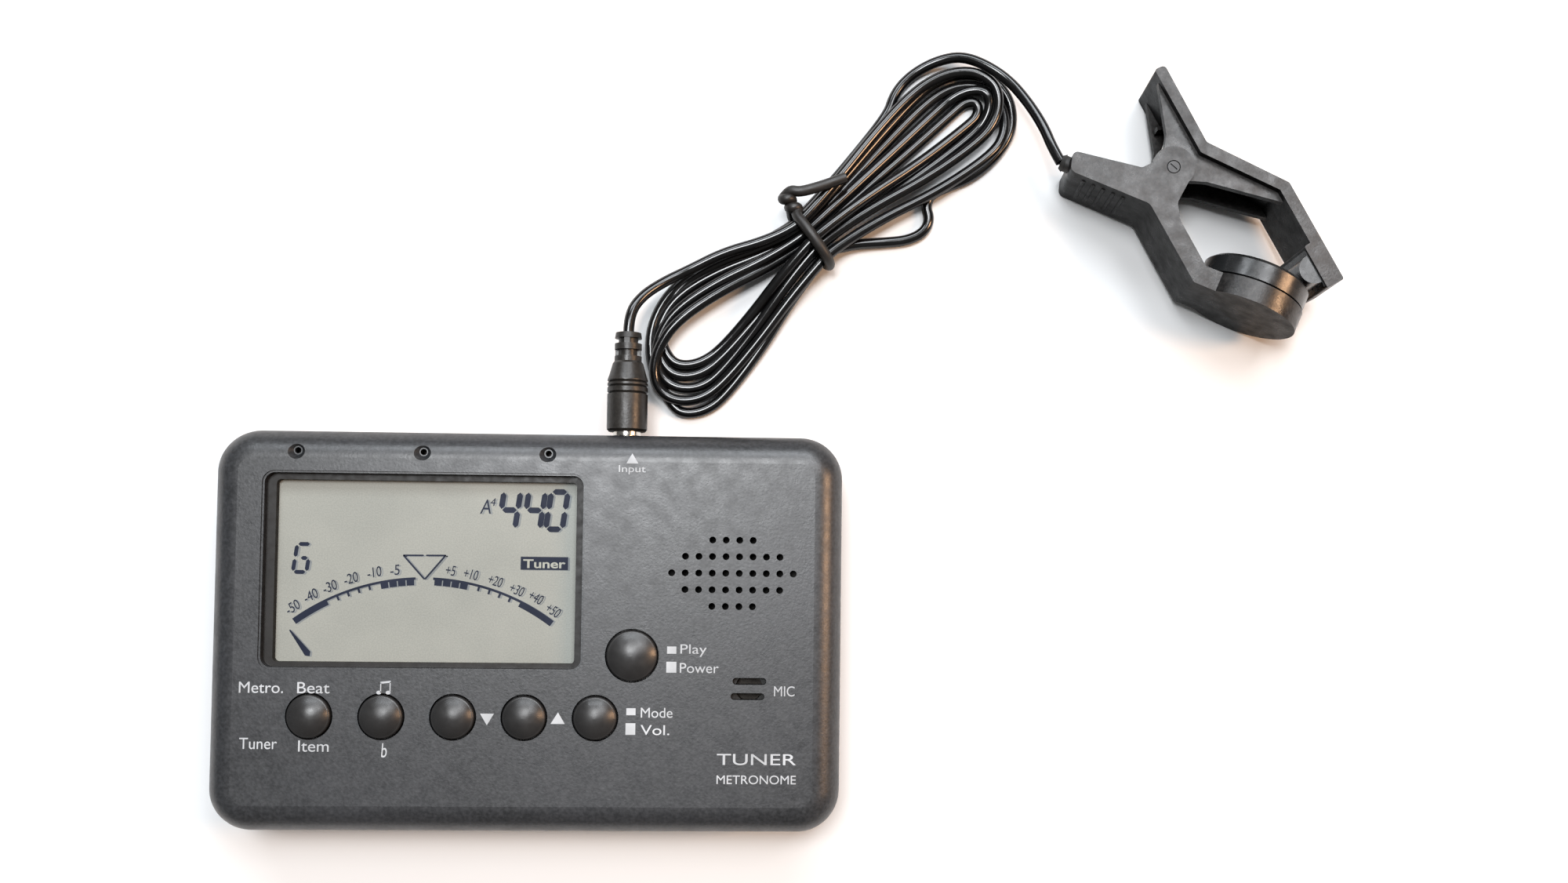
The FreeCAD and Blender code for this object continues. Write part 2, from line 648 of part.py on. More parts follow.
def plug_tip():
    y = PLUG_TIP_Y
    return plug_part(((0, y), (0.7, y), (1.7, y + 1.3), (1.25, y + 2.5), (PLUG_R, y + 3.4),
                      (PLUG_R, y + 3.8), (0.6, y + 3.8), (0, y + 3.8)))


def plug_insulator():
    y = PLUG_TIP_Y + 3.8
    return plug_part(((0, y), (PLUG_R - 0.05, y), (PLUG_R - 0.05, y + 0.8), (0, y + 0.8)))


def plug_sleeve():
    y = PLUG_TIP_Y + 4.6
    shoulder = WIDTH / 2 + 0.25
    return plug_part(((0, y), (PLUG_R, y), (PLUG_R, shoulder), (COLLAR_R, shoulder),
                      (COLLAR_R, BOOT_START_Y), (0, BOOT_START_Y)))


def plug_boot():
    """Moulded grip with three ring grooves, a shoulder and a slotted strain relief."""
    a = BOOT_START_Y
    profile = [(0, a), (BOOT_R - 0.35, a), (BOOT_R, a + 0.4)]
    for groove in (a + 7.0, a + 8.2, a + 9.0):
        profile += [(BOOT_R, groove - 0.22), (BOOT_R - 0.25, groove), (BOOT_R, groove + 0.22)]
    profile += [(BOOT_R, a + 9.4), (BOOT_R - 0.3, a + 10.3), (2.75, a + 12.4), (2.45, a + 12.8),
                (2.45, a + 13.7), (1.75, a + 13.7), (1.75, a + 14.9), (2.45, a + 14.9),
                (2.45, a + 16.0), (1.75, a + 16.0), (1.75, a + 17.0), (2.45, a + 17.0),
                (2.3, BOOT_END_Y), (0, BOOT_END_Y)]
    boot = plug_part(profile)
    ribs = [box(JACK_X - 2.3, JACK_X + 2.3, a + 13.6, a + 15.0, JACK_Z - 0.5, JACK_Z + 0.5),
            box(JACK_X - 0.5, JACK_X + 0.5, a + 15.9, a + 17.1, JACK_Z - 2.3, JACK_Z + 2.3)]
    return fused([boot] + ribs)


def plug_cable():
    return swept_wire(PLUG_ROUTE, bend_radii(PLUG_ROUTE), CABLE_D, "plug cable")


def clip_cable():
    return swept_wire(CLIP_ROUTE, bend_radii(CLIP_ROUTE), CABLE_D, "clip cable")


def cable_hank():
    return plate(HANK_OUTLINE, 0, HANK_H).cut(plate(HANK_EYE, -1, HANK_H + 1))


def cable_tie():
    """Twist tie: a rounded band round the waist and a twisted tail, drawn across X."""
    low, high, half = TIE_D / 2, TIE_TOP_Z, TIE_HALF
    corners = [Vector(-half, 0, low), Vector(half, 0, low), Vector(half, 0, high),
               Vector(-half, 0, high)]
    ring = rounded_path(corners, [TIE_CORNER] * 4, True)
    start = ring.Edges[0]
    circle = Part.makeCircle(TIE_D / 2, start.Vertexes[0].Point,
                             start.tangentAt(start.FirstParameter))
    band = ring.makePipeShell([Part.Wire(circle)], True, True)
    tail = swept_wire(TIE_TAIL, [0, 1.0, 1.5, 0], TIE_D, "tie tail")
    tie = fused([band, tail])
    tie.Placement = Placement(Vector(TIE_CENTRE[0], TIE_CENTRE[1], 0),
                              Rotation(Vector(0, 0, 1), TIE_ANGLE))
    return tie


# ---------- spring clip, in its own frame ----------

def jaw_axes():
    """Unit vectors along the sensor disc and out of its face."""
    a = math.radians(JAW_ANGLE)
    return Vector(math.cos(a), math.sin(a), 0), Vector(-math.sin(a), math.cos(a), 0)


def disc_base():
    along, _ = jaw_axes()
    return Vector(ARM_BEND[0], ARM_BEND[1], 0) + along * DISC_ALONG


def disc(radius, low, high):
    _, out = jaw_axes()
    return Part.makeCylinder(radius, high - low, disc_base() + out * low, out)


def disc_paddle():
    """Round end of the sensor arm with its straight flanks running out of the arm."""
    along, out = jaw_axes()
    reach = math.hypot(DISC_ALONG, HALF_W)
    turn = math.acos(DISC_R / reach) - math.atan2(HALF_W, DISC_ALONG)
    touch_x = DISC_ALONG - DISC_R * math.cos(turn)
    touch_z = DISC_R * math.sin(turn)
    start = Vector(ARM_BEND[0], ARM_BEND[1], 0)
    corners = [(0, -HALF_W), (touch_x, -touch_z), (touch_x, touch_z), (0, HALF_W)]
    points = [start + along * s + Vector(0, 0, z) for s, z in corners]
    flank = Part.Face(Part.makePolygon(points + points[:1])).extrude(out * DISC_T)
    return fused([flank, disc(DISC_R, 0, DISC_T)])


def grip_ridges(start, end, outward):
    """Five low ridges across the outer face of a handle."""
    start, end = Vector(start[0], start[1], 0), Vector(end[0], end[1], 0)
    along = (end - start).normalize()
    ridges = []
    for i in range(5):
        at = start + along * (3.0 + 1.95 * i) - outward * 0.2
        ridges.append(rod(0.45, (at.x, at.y, -4.7), (at.x, at.y, 4.7)))
    return ridges


def sensor_arm():
    outline = ((-15.4, -10.1, 1.0), (-13.2, -13.2, 1.4), (1.4, -8.0, 2.0), (16.8, -13.4, 0.6),
               (22.0, -11.55, 0), (20.8, -8.05, 0), (16.4, -9.75, 0.5), (7.3, -6.5, 2.0),
               (4.9, -4.4, 1.5), (3.6, 0.6, 0), (0, 3.0, 0), (-3.3, -1.9, 0), (-4.1, -3.95, 0.8))
    body = plate(outline, -HALF_W, HALF_W)
    ears = post(EAR_R, -HALF_W, HALF_W)
    outer = Vector(math.sin(math.radians(JAW_ANGLE)), -math.cos(math.radians(JAW_ANGLE)), 0)
    ridges = grip_ridges((-13.2, -13.2), (1.4, -8.0), outer)
    arm = fused([body, ears, disc_paddle()] + ridges)
    slot = post(SLOT_R, -SLOT_Z, SLOT_Z)
    lead_way = [rod(WIRE_BORE_R, a + (WIRE_LINE_Z,), b + (WIRE_LINE_Z,))
                for a, b in zip(WIRE_POINTS, WIRE_POINTS[1:])]
    lead_way += [Part.makeSphere(WIRE_BORE_R, Vector(x, y, WIRE_LINE_Z))
                 for x, y in WIRE_POINTS[1:-1]]
    gland_seat = rod(1.5, gland_point(-1.0), gland_point(1.8))
    pin_bore = post(PIN_R, -HALF_W - 1, HALF_W + 1)
    pocket = disc(POCKET_R, DISC_T - POCKET_DEPTH, DISC_T + 1)
    return arm.cut([slot, pin_bore, pocket, gland_seat] + lead_way)


def gland_point(distance):
    """Point on the gland's axis, measured inwards from the handle's end."""
    end, inside = Vector(*WIRE_POINTS[0], WIRE_LINE_Z), Vector(*WIRE_POINTS[1], WIRE_LINE_Z)
    at = end + (inside - end).normalize() * distance
    return at.x, at.y, at.z


def cable_gland():
    sleeve = rod(1.5, gland_point(-0.9), gland_point(1.8))
    nose = Part.makeCone(1.25, 1.7, 0.7, Vector(*gland_point(-1.6)),
                         Vector(*gland_point(0)) - Vector(*gland_point(-1.6)))
    lead = rod(WIRE_R, gland_point(0.6), gland_point(3))
    return fused([sleeve, nose]).cut(lead)


def sensor_lead():
    points = [gland_point(0.6)] + [(x, y, WIRE_LINE_Z) for x, y in WIRE_POINTS[1:]]
    return swept_wire(points, [0, 4.0, 3.0, 3.0, 0], 2 * WIRE_R, "sensor lead")


def piezo_disc():
    floor = DISC_T - POCKET_DEPTH
    plate_part = disc(7.5, floor, floor + 0.4)
    ceramic = disc(5.0, floor + 0.4, floor + 0.7)
    lead_room = rod(WIRE_BORE_R, WIRE_POINTS[-2] + (WIRE_LINE_Z,), WIRE_POINTS[-1] + (WIRE_LINE_Z,))
    return fused([plate_part, ceramic]).cut(lead_room)


def foam_ring():
    floor = DISC_T - POCKET_DEPTH
    return disc(7.4, floor + 0.4, floor + 1.0).cut(disc(5.3, floor, DISC_T))


def sensor_cap():
    """Rubber contact cap: spigot in the arm's pocket, neck, rim and bevelled face."""
    _, out = jaw_axes()
    spigot = DISC_T - 0.6
    profile = ((0, spigot), (POCKET_R - 0.1, spigot), (POCKET_R - 0.1, CAP_NECK[0]),
               (CAP_R - 0.8, CAP_NECK[0]), (CAP_R - 0.8, CAP_NECK[1]), (CAP_R, CAP_NECK[1]),
               (CAP_R, CAP_TOP - CAP_CHAMFER), (CAP_R - CAP_CHAMFER, CAP_TOP), (0, CAP_TOP))
    base = disc_base()
    return turned(profile, (base.x, base.y, base.z), (out.x, out.y, out.z))


def clamp_arm():
    bend_a, bend_b, tip = (1.3, 7.5), (17.2, 12.0), (36.1, 5.3)
    spine = plate((
        (-13.9, 13.1, 0.8), (bend_a[0], bend_a[1], 1.0), (bend_b[0], bend_b[1], 0.8),
        (tip[0], tip[1], 0.4), (35.4, 3.3, 0.3), (16.9, 9.85, 0.5), (1.8, 5.35, 1.0),
        (-14.7, 11.2, 0.5)), -HALF_W, HALF_W)
    web = ((-13.2, 10.9, 0), (-5.2, 4.3, 1.5), (-3.3, 1.6, 0), (0, -3.0, 0), (3.4, 0.3, 0),
           (6.2, 2.6, 1.5), (19.0, 9.2, 0), (16.9, 10.6, 0), (1.8, 6.2, 0))
    cheeks = []
    for low, high in (CHEEK_Z, (-CHEEK_Z[1], -CHEEK_Z[0])):
        cheeks.append(fused([plate(web, low, high), post(HUB_R, low, high)]))
    outer = Vector(math.sin(math.radians(20.4)), math.cos(math.radians(20.4)), 0)
    ridges = grip_ridges((-13.9, 13.1), bend_a, outer)
    carrier = plate(((27.4, 6.8, 0), (35.6, 3.9, 0), (35.0, 2.1, 0.3), (27.0, 4.95, 0.3)),
                    -HALF_W, HALF_W)
    rib = plate(((-6.5, 8.6, 0), (-5.9, 8.4, 0), (-7.3, 6.6, 0), (-7.9, 7.0, 0)),
                -CHEEK_Z[1], -1.0)
    arm = fused([spine, carrier, rib] + cheeks + ridges)
    return arm.cut([post(PIN_R + PIN_RUNNING_GAP, -HALF_W, HALF_W), jaw_pad()])


def jaw_pad():
    """Half-round rubber bar on a thin base, across the clamp arm's tip."""
    a = math.radians(-JAW_ANGLE)
    along = Vector(math.cos(a), math.sin(a), 0)
    out = Vector(math.sin(a), -math.cos(a), 0)
    centre = Vector(PAD_CENTRE[0], PAD_CENTRE[1], -PAD_HALF_W)
    left, right = centre - along * PAD_R, centre + along * PAD_R
    arc = Part.Arc(left, centre + out * PAD_R, right).toShape()
    chord = Part.LineSegment(right, left).toShape()
    bar = Part.Face(Part.Wire([arc, chord])).extrude(Vector(0, 0, 2 * PAD_HALF_W))
    corners = [centre - along * 3.7, centre + along * 3.7, centre + along * 3.7 - out * 0.55,
               centre - along * 3.7 - out * 0.55]
    base = Part.Face(Part.makePolygon(corners + corners[:1])).extrude(
        Vector(0, 0, 2 * PAD_HALF_W))
    return fused([bar, base])


def pivot_pin():
    """Rivet flush with both ears, with a slotted, slightly domed end."""
    pin = turned(((0, -HALF_W), (PIN_R - 0.2, -HALF_W), (PIN_R, -HALF_W + 0.2),
                  (PIN_R, HALF_W - 0.2), (PIN_R - 0.2, HALF_W), (0, HALF_W)))
    return pin.cut(box(-0.8, 0.8, -0.15, 0.15, HALF_W - 0.25, HALF_W + 1))


def torsion_spring():
    """Close-wound coil round the pin, ridged at each turn, with one leg on each handle."""
    first = -(SPRING_TURNS - 1) / 2 * SPRING_PITCH
    inner = SPRING_COIL_R - SPRING_WIRE_R
    outer = SPRING_COIL_R + SPRING_WIRE_R
    profile = [(inner, first - SPRING_PITCH / 2)]
    for i in range(SPRING_TURNS):
        z = first + i * SPRING_PITCH
        profile += [(outer - 0.3, z - SPRING_PITCH / 2), (outer, z - 0.22), (outer, z + 0.22)]
    profile += [(outer - 0.3, -first + SPRING_PITCH / 2), (inner, -first + SPRING_PITCH / 2)]
    legs = [rod(SPRING_WIRE_R, (-1.24, 2.28, first), (-10.1, -6.5, first)),
            rod(SPRING_WIRE_R, (0.99, 2.4, -first), (-9.2, 8.6, -first))]
    return fused([turned(profile)] + legs)


def clip_placement():
    """The clip lies on the ends of its handles and on the rim of its sensor disc."""
    disc_x = (disc_base() + jaw_axes()[1] * DISC_T).x
    tilt = math.atan((DISC_R - HALF_W) / (disc_x - HANDLE_END_X))
    lift = HALF_W * math.cos(tilt) - HANDLE_END_X * math.sin(tilt) + 0.02
    turn = Rotation(Vector(0, 0, 1), CLIP_HEADING) * Rotation(Vector(0, 1, 0),
                                                              -math.degrees(tilt))
    return Placement(Vector(PIVOT_XY[0], PIVOT_XY[1], lift), turn)


# ---------- all nodes ----------

def tuner_nodes():
    nodes = {
        "front_case": front_case(), "back_case": back_case(), "battery_door": battery_door(),
        "stand": stand(), "lcd_frame": lcd_frame(), "lcd_glass": lcd_glass(),
        "lcd_reflector": lcd_reflector(), "zebra_strips": zebra_strips(),
        "main_board": main_board(), "board_components": board_components(),
        "keypad_mat": keypad_mat(), "indicator_lamps": indicator_lamps(),
        "speaker_frame": speaker_frame(), "speaker_cone": speaker_cone(),
        "mic_capsule": mic_capsule(), "mic_boot": mic_boot(), "battery_cells": battery_cells(),
        "battery_spring": battery_spring(), "battery_contacts": battery_contacts(),
        "case_screws": case_screws(), "board_screws": board_screws(),
        "input_jack": input_jack(), "jack_terminals": jack_terminals(),
    }
    for name, x, y, radius in key_sites():
        nodes[name] = key_cap(x, y, radius)
    return nodes


def lead_nodes():
    return {
        "plug_tip": plug_tip(), "plug_insulator": plug_insulator(),
        "plug_sleeve": plug_sleeve(), "plug_boot": plug_boot(), "plug_cable": plug_cable(),
        "cable_hank": cable_hank(), "cable_tie": cable_tie(), "clip_cable": clip_cable(),
    }


def clip_nodes():
    nodes = {
        "sensor_arm": sensor_arm(), "cable_gland": cable_gland(), "sensor_lead": sensor_lead(),
        "piezo_disc": piezo_disc(), "foam_ring": foam_ring(), "sensor_cap": sensor_cap(),
        "pivot_pin": pivot_pin(), "torsion_spring": torsion_spring(),
        "clamp_arm": clamp_arm(), "jaw_pad": jaw_pad(),
    }
    place = clip_placement()
    for name in nodes:
        nodes[name].Placement = place.multiply(nodes[name].Placement)
    axis = place.Rotation.multVec(Vector(0, 0, 1))
    exit_point = place.multVec(Vector(*gland_point(-1.6)))
    print(f"clip pivot {tuple(place.Base)}, hinge axis {tuple(axis)}")
    print(f"cable leaves the gland at {tuple(exit_point)}")
    return nodes


def main():
    os.makedirs("parts", exist_ok=True)
    nodes = {**tuner_nodes(), **lead_nodes(), **clip_nodes()}
    for name, shape in nodes.items():
        bounds = shape.BoundBox
        if not shape.isValid() or not shape.Solids:
            print(f"{name} is not a valid solid")
        print(f"{name}: {len(shape.Solids)} solid(s), {shape.Volume:.1f} mm3, "
              f"z {bounds.ZMin:.3f} to {bounds.ZMax:.3f}")
        shape.exportStep(f"parts/{name}.step")


main()
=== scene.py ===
import json
import math

import bmesh
import bpy
from mathutils import Matrix, Vector


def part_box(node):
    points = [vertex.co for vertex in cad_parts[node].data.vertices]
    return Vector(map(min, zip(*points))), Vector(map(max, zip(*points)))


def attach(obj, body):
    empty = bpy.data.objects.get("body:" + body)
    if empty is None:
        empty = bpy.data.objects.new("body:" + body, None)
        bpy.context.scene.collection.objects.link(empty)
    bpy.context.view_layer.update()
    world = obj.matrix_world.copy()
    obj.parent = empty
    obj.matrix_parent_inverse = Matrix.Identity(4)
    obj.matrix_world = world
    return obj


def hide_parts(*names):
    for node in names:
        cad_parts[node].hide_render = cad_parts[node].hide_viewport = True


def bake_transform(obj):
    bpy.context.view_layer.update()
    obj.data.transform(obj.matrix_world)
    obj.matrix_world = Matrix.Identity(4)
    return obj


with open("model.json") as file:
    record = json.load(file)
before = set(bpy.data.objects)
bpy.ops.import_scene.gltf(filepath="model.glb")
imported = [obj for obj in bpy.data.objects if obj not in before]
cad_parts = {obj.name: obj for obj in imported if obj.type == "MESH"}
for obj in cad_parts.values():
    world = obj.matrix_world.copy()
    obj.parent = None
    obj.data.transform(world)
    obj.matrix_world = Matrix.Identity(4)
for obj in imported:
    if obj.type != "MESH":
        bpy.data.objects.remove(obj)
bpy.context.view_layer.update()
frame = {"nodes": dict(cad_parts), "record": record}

MM = 0.001
NODES = frame["nodes"]
JOINTS = {joint["name"]: joint for joint in frame["record"]["behaviour"]["joints"]}

# ---- camera, placed as the object is seen: almost straight down ----
CAMERA_AT = (41.70, 14.08, 252.19)
CAMERA_TILT_X = 0.0371
CAMERA_TILT_Y = -0.0383
CAMERA_ROLL = 0.0126
LENS = 30.7
SENSOR = 36.0
SHIFT = (-0.0219, 0.0403)

FLOOR_SIZE = 1.5
FLOOR_DROP = 0.00002

# ---- lead: millimetres, as the CAD route ----
CORD_D = 2.0
CLIP_ROUTE = (
    (81.8, 106.9, 4.4),
    (86.3, 103.7, 5.0),
    (89.8, 98.8, 6.4),
    (92.3, 93.9, 7.9),
    (93.6, 89.8, 9.0),
    (95.02, 87.14, 9.43),
)
PLUG_ROUTE = (
    (26.5, 66.6, 5.0),
    (22.1, 64.2, 6.0),
    (18.1, 61.1, 7.7),
    (16.0, 57.4, 9.0),
    (16.0, 54.0, 9.0),
)
# The hank's own axes: u runs from the tie to the upper loops, v to their left.
WAIST = (49.0, 73.2)
HANK_ANGLE = math.radians(45)
# Where each strand passes through the tie: v and height.
LEFT_SLOTS = ((4.3, 2.9), (2.9, 4.5), (0.1, 2.9), (2.2, 2.9), (1.2, 4.8), (3.2, 6.2))
RIGHT_SLOTS = ((-4.2, 2.6), (-0.8, 6.4), (-4.5, 4.2), (-2.1, 2.9), (-2.2, 4.8))
# Loops in the order that the lead runs through them: left bulge, tip and right bulge,
# each u, v and height. Only the lower loops' left shoulders cross, each under the next.
LOWER_LOOPS = (
    ((-24.5, 11.9, 1.0), (-40.4, -4.6, 1.0), (-32.5, -9.9, 1.0)),
    ((-22.5, 11.0, 1.0), (-34.6, 2.3, 1.0), (-26.5, -3.0, 1.0)),
    ((-28.5, 6.2, 4.2), (-40.1, -1.0, 2.4), (-31.5, -8.0, 2.0)),
    ((-25.0, 9.9, 1.6), (-36.3, 1.4, 1.0), (-28.5, -4.4, 1.0)),
    ((-27.0, 8.1, 2.6), (-38.0, 0.4, 1.0), (-30.5, -6.2, 1.0)),
)
UPPER_LOOPS = (
    ((35.5, 6.0, 1.0), (47.5, -3.6, 1.0), (37.5, -12.9, 1.0)),
    ((38.5, -1.2, 1.0), (41.6, -3.1, 1.0), (38.5, -5.0, 1.0)),
    ((35.0, 3.7, 1.0), (45.3, -4.2, 1.0), (36.5, -12.3, 2.5)),
    ((36.5, 1.2, 1.0), (44.0, -3.2, 2.6), (37.5, -7.0, 1.2)),
    ((33.0, 6.7, 2.9), (46.2, -2.2, 3.2), (37.0, -8.9, 2.9)),
)
# The clip's own strand, round the outside of the upper loops and in under them.
CLIP_STRAND = (
    (45.4, 5.0, 3.2), (42.4, 7.6, 2.0), (38.4, 9.2, 1.2), (34.4, 9.6, 1.0),
    (31.0, 8.9, 1.0), (28.0, 7.2, 1.0),
)
CLIP_STRAND_IN = (23.5, 6.0, 1.0)
# Where the plug's strand leaves the bundle.
PLUG_STRAND_OUT = (-20.6, 11.2, 5.0)
# The slack that stands out beside the tie, and which upper loop it belongs to.
SLACK_TURN = 0
SLACK_LOOP = (
    (3.0, -4.8, 2.2), (6.2, -6.5, 1.5), (10.0, -9.7, 1.0), (13.6, -12.6, 1.0),
    (17.0, -13.7, 1.0), (19.6, -12.7, 1.0), (20.7, -10.4, 1.0), (23.0, -9.4, 1.0),
    (26.4, -10.6, 1.0), (31.0, -12.5, 1.0),
)

# ---- twist tie, in its own axes: x across the hank, y along it ----
TIE_ANGLE = math.radians(-53.0)
TIE_D = 2.0

# ---- torsion spring of the clip; the heading is from the pivot to the jaws ----
CLIP_HEADING = math.radians(-42.5)
SPRING_R = 2.6
SPRING_TURNS = 6.4
SPRING_PITCH = 0.98
SPRING_WIRE = 0.9

# ---- display: the tuning scale is an arc about DIAL, angles from its top in degrees ----
DIAL = (-18.45, -28.9)
DIAL_R = 38.3
DIAL_END = 36.4
DIAL_LINE = 0.42
DIAL_TICK = 1.15
DIAL_BLOCK = 1.4
DIAL_WORDS = (
    ("-50", -40.7, 4.1), ("-40", -37.7, 6.1), ("-30", -34.5, 7.65), ("-20", -30.95, 9.1),
    ("-10", -27.0, 10.2), ("-5", -23.5, 10.6), ("+5", -14.0, 10.6), ("+10", -10.5, 10.0),
    ("+20", -6.3, 8.9), ("+30", -2.6, 7.4), ("+40", 0.7, 6.1), ("+50", 3.7, 3.9),
)

# ---- printing on the front face: words with x, baseline, capital height and width ----
PRINT_SUNK = 0.08
PRINT_RAISED = 0.045
FACE_WORDS = (
    ("Metro.", -48.8, -10.7, 1.9, 7.5), ("Beat", -38.9, -10.7, 1.9, 5.5),
    ("Tuner", -48.5, -20.3, 1.9, 6.4), ("Item", -38.5, -20.7, 1.9, 5.2),
    ("Play", 26.8, -3.36, 1.6, 4.6), ("Power", 26.75, -6.7, 1.7, 6.75),
    ("Mode", 20.1, -14.5, 1.7, 5.5), ("Vol.", 20.1, -17.5, 1.7, 5.0),
    ("MIC", 43.2, -10.65, 1.75, 3.6), ("Input", 15.6, 28.2, 1.2, 4.7),
    ("TUNER", 33.4, -22.6, 1.9, 13.8), ("METRONOME", 33.4, -25.9, 1.5, 13.8),
)
FACE_BOXES = (
    (24.5, -3.4, 26.1, -2.15), (24.4, -6.7, 26.15, -4.8), (17.6, -14.1, 19.2, -12.9),
    (17.5, -17.5, 19.2, -15.5),
)
FACE_TRIANGLES = (
    ((-7.6, -14.0), (-5.2, -14.0), (-6.4, -16.0)), ((4.55, -15.7), (7.0, -15.7), (5.8, -13.7)),
    ((16.9, 29.7), (19.0, 29.7), (17.9, 31.5)),
)


def metres(point):
    return Vector(point) * MM


# ---------- small helpers ----------

def keep(name, data, body):
    """Adds a finished piece to the scene, riding on its CAD body."""
    piece = bpy.data.objects.new(name, data)
    bpy.context.scene.collection.objects.link(piece)
    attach(piece, body)
    return piece


def mesh_from(bm, name):
    bmesh.ops.recalc_face_normals(bm, faces=bm.faces)
    mesh = bpy.data.meshes.new(name)
    bm.to_mesh(mesh)
    bm.free()
    return mesh


def nurbs(name, points, diameter):
    """Round cord along one smooth spline whose control points are given in millimetres.

    A point's radius pads the curve's bounds by its own value in metres, so the points
    carry the true radius and scale a bevel of one metre.
    """
    curve = bpy.data.curves.new(name, "CURVE")
    curve.dimensions = "3D"
    curve.bevel_depth = 1.0
    curve.bevel_resolution = 5
    curve.use_fill_caps = True
    curve.resolution_u = 6
    spline = curve.splines.new("NURBS")
    spline.points.add(len(points) - 1)
    for place, point in zip(spline.points, points):
        place.co = (*metres(point), 1)
        place.radius = diameter / 2 * MM
    spline.order_u = 3
    spline.use_endpoint_u = True
    return curve


# ---------- camera, light and floor ----------

def add_camera():
    data = bpy.data.cameras.new("camera")
    data.sensor_width = SENSOR
    data.lens = LENS
    data.shift_x, data.shift_y = SHIFT
    data.clip_start = 0.01
    data.clip_end = 10
    camera = bpy.data.objects.new("camera", data)
    turn = (Matrix.Rotation(CAMERA_ROLL, 4, "Z") @ Matrix.Rotation(CAMERA_TILT_X, 4, "X")
            @ Matrix.Rotation(CAMERA_TILT_Y, 4, "Y"))
    camera.matrix_world = Matrix.Translation(metres(CAMERA_AT)) @ turn
    bpy.context.scene.collection.objects.link(camera)
    bpy.context.scene.camera = camera


def add_light(name, at, target, size, power, color):
    data = bpy.data.lights.new(name, "AREA")
    data.shape = "RECTANGLE"
    data.size, data.size_y = size
    data.energy = power
    data.color = color
    light = bpy.data.objects.new(name, data)
    light.location = at
    light.rotation_euler = (Vector(target) - Vector(at)).to_track_quat("-Z", "Y").to_euler()
    bpy.context.scene.collection.objects.link(light)


def add_lights():
    middle = (0.04, 0.03, 0.0)
    add_light("top_light", (-0.08, 0.22, 0.95), middle, (0.34, 0.30), 5.8, (0.96, 0.98, 1.0))
    add_light("window_light", (0.02, 0.62, 0.55), middle, (0.8, 0.20), 4.0, (0.90, 0.95, 1.0))
    add_light("sky_light", (0.32, 0.42, 0.85), middle, (0.30, 0.30), 2.6, (0.95, 0.97, 1.0))
    add_light("warm_side", (0.70, 0.06, 0.50), middle, (0.14, 0.3), 3.0, (1.0, 0.60, 0.34))
    world = bpy.data.worlds.new("studio")
    world.use_nodes = True
    background = world.node_tree.nodes["Background"]
    background.inputs["Color"].default_value = (1, 1, 1, 1)
    background.inputs["Strength"].default_value = 0.14
    bpy.context.scene.world = world
    bpy.context.scene.view_settings.view_transform = "Standard"


def add_floor():
    bm = bmesh.new()
    bmesh.ops.create_grid(bm, x_segments=1, y_segments=1, size=FLOOR_SIZE)
    floor = bpy.data.objects.new("floor", mesh_from(bm, "floor"))
    floor.location.z = -FLOOR_DROP
    bpy.context.scene.collection.objects.link(floor)
    material, _, shader = new_material("pale_floor", (0.94, 0.94, 0.94), 0.9)
    shader.inputs["Specular IOR Level"].default_value = 0.1
    floor.data.materials.append(material)


# ---------- materials ----------

def new_material(name, color, roughness, metallic=0.0):
    material = bpy.data.materials.new(name)
    material.use_nodes = True
    shader = material.node_tree.nodes["Principled BSDF"]
    shader.inputs["Base Color"].default_value = (*color, 1)
    shader.inputs["Roughness"].default_value = roughness
    shader.inputs["Metallic"].default_value = metallic
    return material, material.node_tree, shader


def noise(tree, scale, detail=2.0, stretch=(1, 1, 1)):
    """Noise in the object's own coordinates; scale is in features per metre."""
    coordinates = tree.nodes.new("ShaderNodeTexCoord")
    mapping = tree.nodes.new("ShaderNodeMapping")
    mapping.inputs["Scale"].default_value = stretch
    texture = tree.nodes.new("ShaderNodeTexNoise")
    texture.inputs["Scale"].default_value = scale
    texture.inputs["Detail"].default_value = detail
    tree.links.new(coordinates.outputs["Object"], mapping.inputs["Vector"])
    tree.links.new(mapping.outputs["Vector"], texture.inputs["Vector"])
    return texture.outputs["Fac"]


def ramp(tree, factor, stops):
    node = tree.nodes.new("ShaderNodeValToRGB")
    elements = node.color_ramp.elements
    while len(elements) < len(stops):
        elements.new(0.5)
    for element, (position, color) in zip(elements, stops):
        element.position = position
        element.color = (*color, 1)
    tree.links.new(factor, node.inputs["Fac"])
    return node.outputs["Color"]


def mixed(tree, factor, first, second, mode="MIX", amount=1.0):
    node = tree.nodes.new("ShaderNodeMix")
    node.data_type = "RGBA"
    node.blend_type = mode
    if factor is None:
        node.inputs[0].default_value = amount
    else:
        tree.links.new(factor, node.inputs[0])
    for value, socket in ((first, node.inputs[6]), (second, node.inputs[7])):
        if isinstance(value, tuple):
            socket.default_value = (*value, 1)
        else:
            tree.links.new(value, socket)
    return node.outputs[2]


def add_bump(tree, shader, height, distance):
    bump = tree.nodes.new("ShaderNodeBump")
    bump.inputs["Distance"].default_value = distance
    bump.inputs["Strength"].default_value = 1.0
    tree.links.new(height, bump.inputs["Height"])
    tree.links.new(bump.outputs["Normal"], shader.inputs["Normal"])


def add_roughness(tree, shader, factor, low, high):
    spread = tree.nodes.new("ShaderNodeMapRange")
    spread.inputs["From Min"].default_value = 0.3
    spread.inputs["From Max"].default_value = 0.7
    spread.inputs["To Min"].default_value = low
    spread.inputs["To Max"].default_value = high
    tree.links.new(factor, spread.inputs["Value"])
    tree.links.new(spread.outputs["Result"], shader.inputs["Roughness"])


